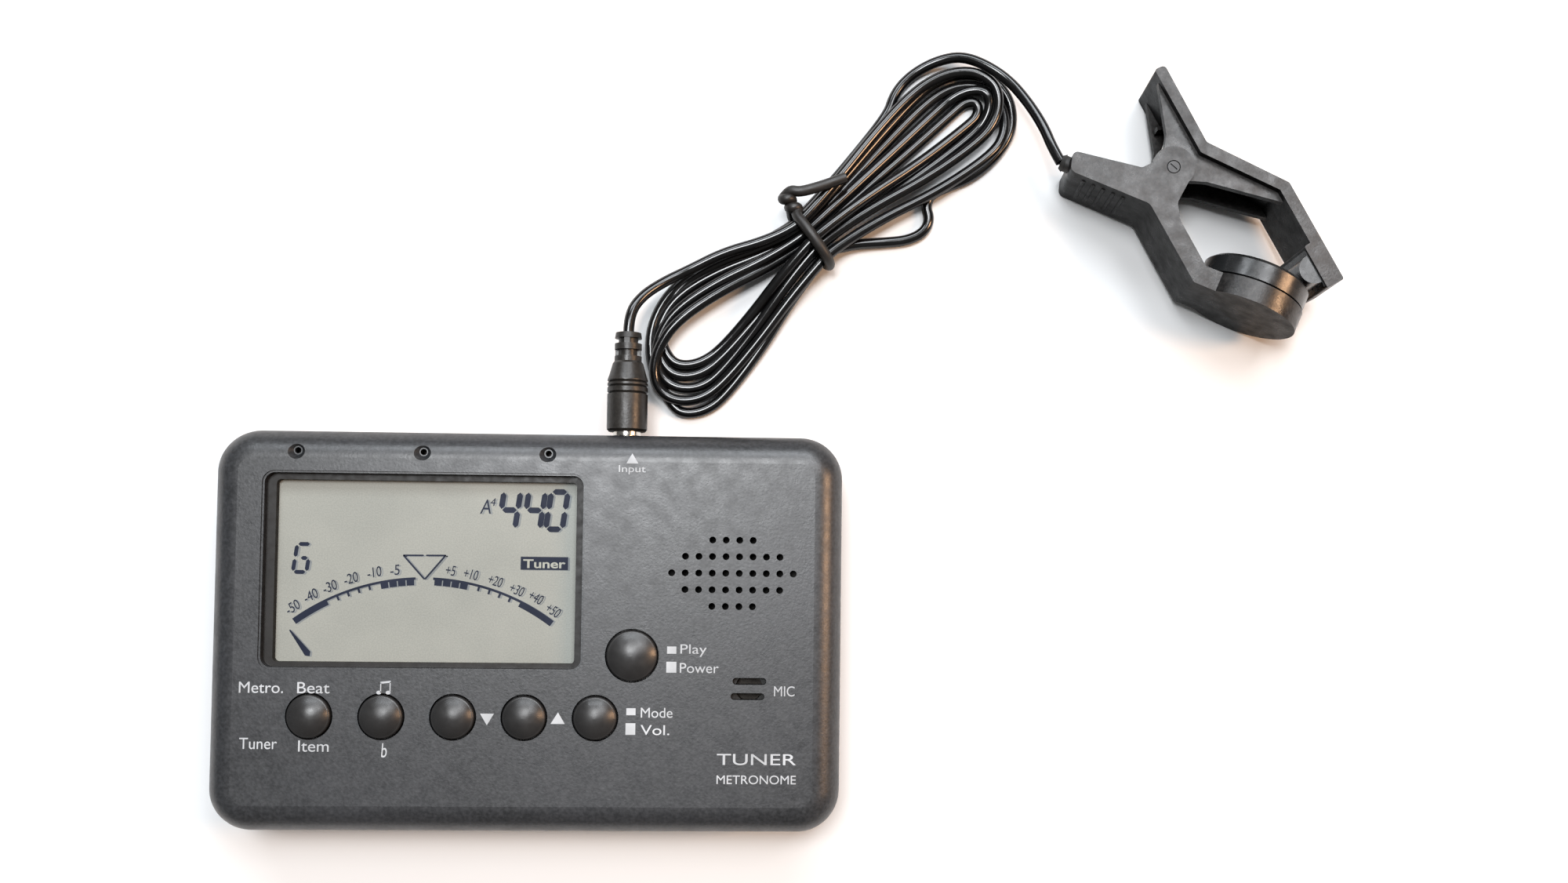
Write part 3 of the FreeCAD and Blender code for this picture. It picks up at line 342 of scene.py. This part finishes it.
def facing_up(tree):
    """One on faces that look up, falling to nothing on upright sides and below."""
    geometry = tree.nodes.new("ShaderNodeNewGeometry")
    parts = tree.nodes.new("ShaderNodeSeparateXYZ")
    spread = tree.nodes.new("ShaderNodeMapRange")
    spread.inputs["From Min"].default_value = 0.15
    spread.inputs["From Max"].default_value = 0.95
    tree.links.new(geometry.outputs["Normal"], parts.inputs["Vector"])
    tree.links.new(parts.outputs["Z"], spread.inputs["Value"])
    return spread.outputs["Result"]


def gloss_with_painted_shade(tree, shader, side, top):
    """Painted shade: turns the specular level down on upright sides, so that they reflect less than
    the top faces.
    """
    level = tree.nodes.new("ShaderNodeMapRange")
    level.inputs["To Min"].default_value = side
    level.inputs["To Max"].default_value = top
    tree.links.new(facing_up(tree), level.inputs["Value"])
    tree.links.new(level.outputs["Result"], shader.inputs["Specular IOR Level"])


def speckled_plastic(name, dark, light, roughness, grain=0.00003, wear=0.12, painted_side_shade=0.6,
                     gloss=(0.2, 0.5)):
    """Moulded matte plastic: cloudy tone, fine spark-eroded grain and pale specks; its upright sides
    get painted shade, darker colour and less gloss.
    """
    material, tree, shader = new_material(name, dark, roughness[0])
    cloud = ramp(tree, noise(tree, 45, 3), ((0.3, dark), (0.72, light)))
    speck = ramp(tree, noise(tree, 1700, 2), ((0.35, (0, 0, 0)), (0.75, (1, 1, 1))))
    pale = tuple(min(1.0, 2.1 * c + 0.02) for c in light)
    tone = mixed(tree, speck, cloud, pale)
    base = mixed(tree, None, cloud, tone, amount=wear * 3)
    # Painted shade: upright sides take the colour multiplied down, so they are darker than the top
    # faces.
    side = mixed(tree, None, base, (painted_side_shade, painted_side_shade, painted_side_shade), mode="MULTIPLY")
    tree.links.new(mixed(tree, facing_up(tree), side, base), shader.inputs["Base Color"])
    gloss_with_painted_shade(tree, shader, *gloss)
    add_roughness(tree, shader, noise(tree, 420, 3), *roughness)
    add_bump(tree, shader, noise(tree, 2600, 4), grain)
    return material


def smooth_plastic(name, color, roughness, grain=0.000008, gloss=(0.5, 0.5)):
    """Glossier moulding with faint clouding and handling marks; a lower gloss on upright sides is
    painted shade.
    """
    material, tree, shader = new_material(name, color, roughness[0])
    light = tuple(1.45 * c + 0.004 for c in color)
    base = ramp(tree, noise(tree, 160, 4), ((0.35, color), (0.75, light)))
    tree.links.new(base, shader.inputs["Base Color"])
    gloss_with_painted_shade(tree, shader, *gloss)
    add_roughness(tree, shader, noise(tree, 700, 3), *roughness)
    add_bump(tree, shader, noise(tree, 1200, 3), grain)
    return material


def brushed_metal(name, color, roughness, stretch=(1, 1, 40)):
    material, tree, shader = new_material(name, color, roughness[0], metallic=1.0)
    fine = noise(tree, 900, 3, stretch)
    dark = tuple(0.72 * c for c in color)
    tree.links.new(ramp(tree, fine, ((0.3, dark), (0.7, color))), shader.inputs["Base Color"])
    add_roughness(tree, shader, fine, *roughness)
    add_bump(tree, shader, fine, 0.000006)
    return material


def display_face():
    """Grey-green reflective liquid crystal under a matte polariser."""
    material, tree, shader = new_material("display_face", (0.50, 0.49, 0.37), 0.5)
    low, high = (0.262, 0.272, 0.245), (0.318, 0.326, 0.292)
    cloud = ramp(tree, noise(tree, 70, 3), ((0.3, low), (0.7, high)))
    sparkle = ramp(tree, noise(tree, 4200, 2), ((0.3, (0.19, 0.20, 0.185)), (0.7, (0.40, 0.41, 0.37))))
    tree.links.new(mixed(tree, None, cloud, sparkle, amount=0.28), shader.inputs["Base Color"])
    add_bump(tree, shader, noise(tree, 5200, 2), 0.000006)
    return material


def circuit_board():
    material, tree, shader = new_material("circuit_board", (0.02, 0.16, 0.05), 0.35)
    tracks = tree.nodes.new("ShaderNodeTexBrick")
    coordinates = tree.nodes.new("ShaderNodeTexCoord")
    tracks.inputs["Scale"].default_value = 160
    tracks.inputs["Color1"].default_value = (0.015, 0.13, 0.04, 1)
    tracks.inputs["Color2"].default_value = (0.02, 0.17, 0.055, 1)
    tracks.inputs["Mortar"].default_value = (0.03, 0.22, 0.08, 1)
    tree.links.new(coordinates.outputs["Object"], tracks.inputs["Vector"])
    tree.links.new(tracks.outputs["Color"], shader.inputs["Base Color"])
    add_bump(tree, shader, noise(tree, 800, 2), 0.00001)
    return material


def make_materials():
    # Painted shade on these plastics: the speckled ones have darkened upright sides, and where gloss
    # is lower on the sides than on top, the sides reflect less.
    body = speckled_plastic("body_plastic", (0.0135, 0.0145, 0.016), (0.026, 0.0275, 0.031),
                            (0.33, 0.43), grain=0.00002, wear=0.16, painted_side_shade=0.6,
                            gloss=(0.2, 0.82))
    clip = speckled_plastic("clip_plastic", (0.0055, 0.0052, 0.0052), (0.030, 0.026, 0.024),
                            (0.24, 0.46), wear=0.12, painted_side_shade=0.10, gloss=(0.08, 0.55))
    return {
        "case_plastic": body,
        "bezel_black": smooth_plastic("bezel_black", (0.007, 0.0055, 0.0045), (0.4, 0.6),
                                      gloss=(0.15, 0.5)),
        "display_glass": display_face(),
        "reflector": brushed_metal("reflector_foil", (0.7, 0.7, 0.65), (0.3, 0.5)),
        "zebra_rubber": smooth_plastic("zebra_rubber", (0.08, 0.05, 0.05), (0.6, 0.8)),
        "board_green": circuit_board(),
        "component_black": smooth_plastic("component_epoxy", (0.012, 0.012, 0.012), (0.4, 0.6)),
        "key_plastic": smooth_plastic("key_plastic", (0.017, 0.0165, 0.0165), (0.30, 0.42),
                                      gloss=(0.15, 0.75)),
        "mat_silicone": smooth_plastic("mat_silicone", (0.16, 0.16, 0.17), (0.5, 0.7)),
        "lamp_lens": smooth_plastic("lamp_lens", (0.05, 0.04, 0.04), (0.1, 0.2)),
        "speaker_metal": brushed_metal("speaker_steel", (0.30, 0.30, 0.30), (0.3, 0.5)),
        "speaker_paper": smooth_plastic("speaker_paper", (0.012, 0.011, 0.010), (0.8, 0.95)),
        "mic_metal": brushed_metal("mic_can", (0.045, 0.040, 0.036), (0.4, 0.6)),
        "soft_rubber": smooth_plastic("soft_rubber", (0.014, 0.013, 0.012), (0.5, 0.7)),
        "cell_jacket": smooth_plastic("cell_jacket", (0.03, 0.035, 0.06), (0.25, 0.35)),
        "spring_steel": brushed_metal("spring_steel", (0.55, 0.54, 0.52), (0.25, 0.4)),
        "nickel": brushed_metal("nickel_plate", (0.72, 0.69, 0.64), (0.12, 0.28)),
        "screw_steel": brushed_metal("screw_steel", (0.16, 0.16, 0.165), (0.3, 0.45)),
        "jack_plastic": smooth_plastic("jack_plastic", (0.012, 0.012, 0.012), (0.35, 0.5)),
        "insulator": smooth_plastic("insulator", (0.01, 0.01, 0.01), (0.3, 0.4)),
        "plug_plastic": speckled_plastic("plug_plastic", (0.010, 0.0095, 0.009),
                                         (0.024, 0.021, 0.018), (0.30, 0.46), wear=0.08,
                                         painted_side_shade=0.25, gloss=(0.12, 0.55)),
        "cable_pvc": smooth_plastic("cable_sheath", (0.0020, 0.0020, 0.0022), (0.14, 0.20),
                                    grain=0.0000015, gloss=(0.08, 0.75)),
        "tie_plastic": smooth_plastic("tie_plastic", (0.013, 0.0115, 0.0105), (0.38, 0.52),
                                      grain=0.00002, gloss=(0.2, 0.6)),
        "clip_plastic": clip,
        "pad_rubber": smooth_plastic("pad_rubber", (0.010, 0.0105, 0.011), (0.22, 0.32),
                                     gloss=(0.45, 0.7)),
        "piezo_brass": brushed_metal("piezo_brass", (0.75, 0.52, 0.2), (0.25, 0.4)),
        "foam": smooth_plastic("foam", (0.02, 0.02, 0.02), (0.85, 0.95), grain=0.0001),
        "rivet": smooth_plastic("rivet", (0.035, 0.035, 0.037), (0.3, 0.42)),
        "print": smooth_plastic("front_print", (0.44, 0.46, 0.48), (0.5, 0.65), grain=0.000003),
        "display_ink": smooth_plastic("display_ink", (0.010, 0.014, 0.030), (0.4, 0.5),
                                      grain=0.000002, gloss=(0.15, 0.15)),
        "display_shadow": smooth_plastic("display_shadow", (0.15, 0.165, 0.17), (0.5, 0.6),
                                         grain=0.000002),
        "display_word": smooth_plastic("display_word", (0.30, 0.31, 0.27), (0.5, 0.6),
                                       grain=0.000002),
    }


def paint_nodes(materials):
    """Gives every CAD node the material of its slot in the record."""
    for part in frame["record"]["subparts"]:
        for place in NODES[part["node"]].material_slots:
            place.material = materials[part["material_slot"]]


# ---------- lead ----------

def hank_point(u, v, z):
    """Millimetres in the row frame of a point in the hank's own axes."""
    cos, sin = math.cos(HANK_ANGLE), math.sin(HANK_ANGLE)
    return WAIST[0] + u * cos - v * sin, WAIST[1] + u * sin + v * cos, z


def flank(slot, bulge):
    """Points from the tie to where a loop is widest, spreading and settling gently."""
    v0, z0 = slot
    u1, v1, z1 = bulge
    points = []
    for t in (0.06, 0.34, 0.66):
        ease = t * t * (3 - 2 * t)
        points.append((u1 * t, v0 + (v1 - v0) * ease, z0 + (z1 - z0) * ease))
    return points


def rounding(bulge, tip):
    """Points of the quarter turn from a loop's widest place to its tip."""
    points = []
    for degrees in (0, 32, 62):
        a = math.radians(degrees)
        u = bulge[0] + (tip[0] - bulge[0]) * math.sin(a)
        v = tip[1] + (bulge[1] - tip[1]) * math.cos(a)
        points.append((u, v, bulge[2] + (tip[2] - bulge[2]) * degrees / 90))
    return points


def loop(slot_in, first, tip, last, slot_out):
    outward = flank(slot_in, first) + rounding(first, tip)
    inward = flank(slot_out, last) + rounding(last, tip)
    return outward + [tip] + inward[::-1]


def lead_points():
    """The whole lead from the clip's gland to the plug, through five turns of the hank."""
    turns = list(CLIP_STRAND) + flank(LEFT_SLOTS[0], CLIP_STRAND_IN)[::-1]
    for i, (lower, upper) in enumerate(zip(LOWER_LOOPS, UPPER_LOOPS)):
        left, tip, right = lower
        turns += loop(LEFT_SLOTS[i], left, tip, right, RIGHT_SLOTS[i])
        left, tip, right = upper
        rising = loop(RIGHT_SLOTS[i], right, tip, left, LEFT_SLOTS[i + 1])
        if i == SLACK_TURN:
            rising = rising[:1] + list(SLACK_LOOP) + rising[3:]
        turns += rising
    turns += flank(LEFT_SLOTS[-1], PLUG_STRAND_OUT)
    return list(CLIP_ROUTE[::-1]) + [hank_point(*turn) for turn in turns] + list(PLUG_ROUTE)


def add_lead(materials):
    points = lead_points()
    lead = keep("lead_cable", nurbs("lead_cable", points, CORD_D), "lead")
    lead.data.materials.append(materials["cable_pvc"])
    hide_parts("plug_cable", "cable_hank", "clip_cable")
    return lead


# ---------- twist tie ----------

def tie_point(x, y, z):
    cos, sin = math.cos(TIE_ANGLE), math.sin(TIE_ANGLE)
    return WAIST[0] + x * cos - y * sin, WAIST[1] + x * sin + y * cos, z


def add_tie(materials):
    """One wire round the bundle whose two ends are twisted together, one end left long."""
    band = [(-7.4, 0.6, 6.2), (-6.2, 0.2, 4.2), (-5.6, 0.0, 1.9), (-3.6, 0.0, 1.0), (0.0, 0.0, 1.0),
            (3.6, 0.0, 1.0), (5.6, 0.0, 1.9), (6.3, 0.0, 4.2), (5.7, 0.0, 6.6), (3.4, 0.0, 8.1),
            (0.4, 0.0, 8.6), (-2.4, 0.0, 8.2), (-4.6, 0.0, 7.2)]
    knot = []
    for step in range(9):
        a = step * math.radians(75)
        knot.append((-5.4 - 0.42 * step, 0.5 + 0.75 * math.cos(a), 6.6 + 0.75 * math.sin(a)))
    tail = [(-8.9, 1.9, 7.2), (-7.6, 3.0, 7.4), (-6.6, 5.6, 7.3), (-5.7, 8.6, 7.0), (-4.9, 11.7, 6.8)]
    points = [tie_point(*p) for p in band + knot + tail]
    tie = keep("twist_tie", nurbs("twist_tie", points, TIE_D), "lead")
    tie.data.materials.append(materials["tie_plastic"])
    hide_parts("cable_tie")
    return tie


# ---------- torsion spring ----------

def swept(name, points, diameter):
    """The same round strand as a plain mesh."""
    holder = bpy.data.objects.new("strand", nurbs("strand", points, diameter))
    mesh = bpy.data.meshes.new_from_object(holder)
    mesh.name = name
    bpy.data.objects.remove(holder)
    return mesh


def clip_frame():
    """The clip's own axes at rest: its pivot, its heading in the jaw's direction, its pin."""
    hinge = JOINTS["clip_hinge"]
    pivot = Vector(hinge["pos_m"])
    pin = Vector(hinge["axis"]).normalized()
    heading = Vector((math.cos(CLIP_HEADING), math.sin(CLIP_HEADING), 0))
    heading = (heading - pin * heading.dot(pin)).normalized()
    return pivot, heading, pin.cross(heading), pin


def add_spring(materials):
    """Close-wound coil with a leg along each handle, placed at rest; on the real clip its turns wind
    up as the clip opens.
    """
    pivot, ahead, across, pin = clip_frame()
    start = -SPRING_TURNS * SPRING_PITCH / 2
    points = [(-10.1, -6.5, start), (-6.0, -2.6, start)]
    first, last = math.radians(118), math.radians(118 + 360 * SPRING_TURNS - 55)
    steps = 96
    for i in range(steps + 1):
        a = first + (last - first) * i / steps
        points.append((SPRING_R * math.cos(a), SPRING_R * math.sin(a),
                       start + SPRING_TURNS * SPRING_PITCH * i / steps))
    points += [(-4.6, 5.9, -start), (-9.2, 8.6, -start)]
    placed = [(pivot / MM + ahead * x + across * y + pin * z) for x, y, z in points]
    spring = bpy.data.objects.new("wound_spring", swept("wound_spring", placed, SPRING_WIRE))
    bpy.context.scene.collection.objects.link(spring)
    spring.data.materials.append(materials["spring_steel"])
    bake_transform(spring)
    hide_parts("torsion_spring")


# ---------- flat graphics: thin raised marks ----------

def prism(bm, outline, z0, z1):
    """Thin plate with the given outline, in millimetres."""
    lower = [bm.verts.new(metres((x, y, z0))) for x, y in outline]
    upper = [bm.verts.new(metres((x, y, z1))) for x, y in outline]
    bm.faces.new(lower)
    bm.faces.new(upper)
    count = len(outline)
    for i in range(count):
        j = (i + 1) % count
        bm.faces.new((lower[i], lower[j], upper[j], upper[i]))


def arrow(bm, left, right, tip, z0, z1):
    """Triangle in strips along its base, so that it can bend over the rounded rim."""
    strips = 6
    rows = [[Vector(end).lerp(Vector(tip), i / strips) for end in (left, right)]
            for i in range(strips + 1)]
    for (a, b), (c, d) in zip(rows[:-1], rows[1:-1]):
        prism(bm, (a, b, d, c), z0, z1)
    prism(bm, (*rows[-2], Vector(tip)), z0, z1)


def oval(bm, x, y, rx, ry, z0, z1):
    steps = [2 * math.pi * i / 20 for i in range(20)]
    prism(bm, [(x + rx * math.cos(a), y + ry * math.sin(a)) for a in steps], z0, z1)


def stroke(bm, start, end, width, z0, z1, end_width=None):
    """Straight bar with pointed ends, as a display segment has."""
    a, b = Vector(start), Vector(end)
    along = (b - a).normalized()
    side = Vector((-along.y, along.x))
    h0, h1 = width / 2, (end_width or width) / 2
    outline = [a, a + along * h0 + side * h0, b - along * h1 + side * h1, b,
               b - along * h1 - side * h1, a + along * h0 - side * h0]
    prism(bm, [tuple(p) for p in outline], z0, z1)


def add_text(bm, words, at, height, z0, z1, angle=0.0, lean=0.0, align="LEFT", width=None,
             weight=0.0):
    """Raised lettering: at is the start or middle of its baseline, height that of a capital."""
    curve = bpy.data.curves.new("words", "FONT")
    curve.body = words
    curve.shear = lean
    curve.offset = weight
    curve.extrude = 0.5
    holder = bpy.data.objects.new("words", curve)
    mesh = bpy.data.meshes.new_from_object(holder)
    corners = [vertex.co.copy() for vertex in mesh.vertices]
    left, right = min(c.x for c in corners), max(c.x for c in corners)
    scale = height / max(c.y for c in corners)
    spread = width / (right - left) if width else scale
    start = {"LEFT": left, "CENTER": (left + right) / 2}[align]
    turn = Matrix.Translation(metres((at[0], at[1], (z0 + z1) / 2))) @ Matrix.Rotation(angle, 4, "Z")
    size = Matrix.Diagonal((spread * MM, scale * MM, (z1 - z0) * MM, 1))
    mesh.transform(turn @ size @ Matrix.Translation((-start, 0, 0)))
    bm.from_mesh(mesh)
    bpy.data.meshes.remove(mesh)
    bpy.data.objects.remove(holder)
    bpy.data.curves.remove(curve)


# Which bars of a seven-bar figure are lit: top, upper left, upper right, middle, lower left,
# lower right, bottom.
FIGURES = {"4": "0111010", "0": "1110111", "6": "1101111"}


def figure(bm, name, left, base, size, lean, bar, z0, z1):
    width, height = size
    middle, gap = height / 2, 0.18
    lines = (
        ((0, height), (width, height)), ((0, height), (0, middle)), ((width, height), (width, middle)),
        ((0, middle), (width, middle)), ((0, middle), (0, 0)), ((width, middle), (width, 0)),
        ((0, 0), (width, 0)),
    )
    for lit, (start, end) in zip(FIGURES[name], lines):
        if lit == "0":
            continue
        a, b = Vector(start), Vector(end)
        step = (b - a).normalized() * gap
        a, b = a + step, b - step
        if name == "6" and start == (0, middle) and end == (width, middle):
            a.x = width * 0.42
        placed = [(left + p.x + lean * p.y, base + p.y) for p in (a, b)]
        stroke(bm, placed[0], placed[1], bar, z0, z1)


def sector(bm, inner, outer, first, last, z0, z1):
    """Piece of the tuning scale between two radii and two angles from its top, in degrees."""
    steps = max(1, round(abs(last - first)))
    angles = [math.radians(first + (last - first) * i / steps) for i in range(steps + 1)]
    rim = [(DIAL[0] + outer * math.sin(a), DIAL[1] + outer * math.cos(a)) for a in angles]
    rim += [(DIAL[0] + inner * math.sin(a), DIAL[1] + inner * math.cos(a)) for a in angles[::-1]]
    prism(bm, rim, z0, z1)


def dial_marks(bm, z0, z1):
    """The scale's line, its solid ends, its four blocks a side by the middle, and its ticks."""
    line = DIAL_R - DIAL_LINE
    for side in (-1, 1):
        sector(bm, line, DIAL_R, side * 2.3, side * DIAL_END, z0, z1)
        sector(bm, DIAL_R - DIAL_TICK, line, side * 26.3, side * DIAL_END, z0, z1)
        for k in range(4):
            block = 2.7 + 2.3 * k
            sector(bm, DIAL_R - DIAL_BLOCK, line, side * block, side * (block + 2.0), z0, z1)
        for k in range(4):
            tick = 14.6 + 2.93 * k
            sector(bm, DIAL_R - DIAL_TICK, line, side * (tick - 0.28), side * (tick + 0.28), z0, z1)


def display_marks(bm, shift, z0, z1):
    """Everything that the display shows, moved by shift."""
    marks = bmesh.new()
    dial_marks(marks, z0, z1)
    for left in (-5.75, -1.4, 2.55):
        figure(marks, "0" if left > 2 else "4", left, 18.1, (2.9, 6.6), 0.14, 1.0, z0, z1)
    figure(marks, "6", -41.3, 10.1, (2.35, 4.9), 0.14, 0.68, z0, z1)
    add_text(marks, "A", (-9.0, 20.7), 2.5, z0, z1, lean=0.18, width=1.9)
    add_text(marks, "4", (-7.2, 22.1), 1.35, z0, z1, lean=0.18)
    for start, end in (((-22.3, 13.2), (-18.6, 13.22)), ((-18.3, 13.22), (-14.7, 13.25)),
                       ((-22.2, 13.25), (-18.4, 9.0)), ((-14.8, 13.3), (-18.4, 9.0))):
        stroke(marks, start, end, 0.3, z0, z1)
    stroke(marks, (-41.6, 0.0), (-38.0, -4.6), 0.25, z0, z1, end_width=1.15)
    prism(marks, ((-1.7, 10.9), (6.6, 10.9), (6.6, 13.2), (-1.7, 13.2)), z0, z1)
    for words, x, y in DIAL_WORDS:
        tilt = -math.asin((x - DIAL[0]) / (DIAL_R + 3))
        add_text(marks, words, (x, y - 0.85), 1.75, z0, z1, angle=tilt, lean=0.12, align="CENTER",
                 width=0.84 * len(words))
    bmesh.ops.translate(marks, verts=marks.verts, vec=metres((shift[0], shift[1], 0)))
    moved = bpy.data.meshes.new("marks")
    marks.to_mesh(moved)
    marks.free()
    bm.from_mesh(moved)
    bpy.data.meshes.remove(moved)


def add_display(materials):
    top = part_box("lcd_glass")[1].z / MM
    layers = (
        ("display_shadows", "display_shadow", (0.34, -0.10), -0.05, 0.012),
        ("display_segments", "display_ink", (0.0, 0.0), -0.05, 0.03),
    )
    for name, paint, shift, below, above in layers:
        bm = bmesh.new()
        display_marks(bm, shift, top + below, top + above)
        piece = keep(name, mesh_from(bm, name), "housing")
        piece.data.materials.append(materials[paint])
    bm = bmesh.new()
    add_text(bm, "Tuner", (2.45, 11.25), 1.5, top, top + 0.045, align="CENTER", width=7.4,
             weight=0.02)
    word = keep("display_mode_word", mesh_from(bm, "display_mode_word"), "housing")
    word.data.materials.append(materials["display_word"])


def lay_on_face(bm):
    """Lowers marks near the edges so that they follow the face's rounded rim."""
    case = NODES["front_case"]
    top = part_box("front_case")[1].z
    for vertex in bm.verts:
        start = Vector((vertex.co.x, vertex.co.y, top + 0.01))
        hit, place, _, _ = case.ray_cast(start, Vector((0, 0, -1)))
        if hit and top - place.z < 0.001:
            vertex.co.z += place.z - top


def add_print(materials):
    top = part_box("front_case")[1].z / MM
    z0, z1 = top - PRINT_SUNK, top + PRINT_RAISED
    bm = bmesh.new()
    for words, x, y, height, width in FACE_WORDS:
        add_text(bm, words, (x, y), height, z0, z1, width=width)
    for x0, y0, x1, y1 in FACE_BOXES:
        prism(bm, ((x0, y0), (x1, y0), (x1, y1), (x0, y1)), z0, z1)
    for left, right, tip in FACE_TRIANGLES:
        arrow(bm, left, right, tip, z0, z1)
    # beamed notes above the note key, and a flat sign below it
    for x in (-25.0, -23.4):
        oval(bm, x, -10.5, 0.42, 0.32, z0, z1)
        prism(bm, ((x + 0.22, -10.5), (x + 0.4, -10.5), (x + 0.4, -8.7), (x + 0.22, -8.7)), z0, z1)
    prism(bm, ((-24.78, -9.0), (-23.0, -8.8), (-23.0, -8.45), (-24.78, -8.65)), z0, z1)
    add_text(bm, "b", (-24.35, -21.6), 2.4, z0, z1, width=0.95, lean=0.1)
    lay_on_face(bm)
    piece = keep("front_print", mesh_from(bm, "front_print"), "housing")
    piece.data.materials.append(materials["print"])


def main():
    add_camera()
    add_lights()
    add_floor()
    materials = make_materials()
    lead = add_lead(materials)
    tie = add_tie(materials)
    paint_nodes(materials)
    add_spring(materials)
    add_display(materials)
    add_print(materials)


main()
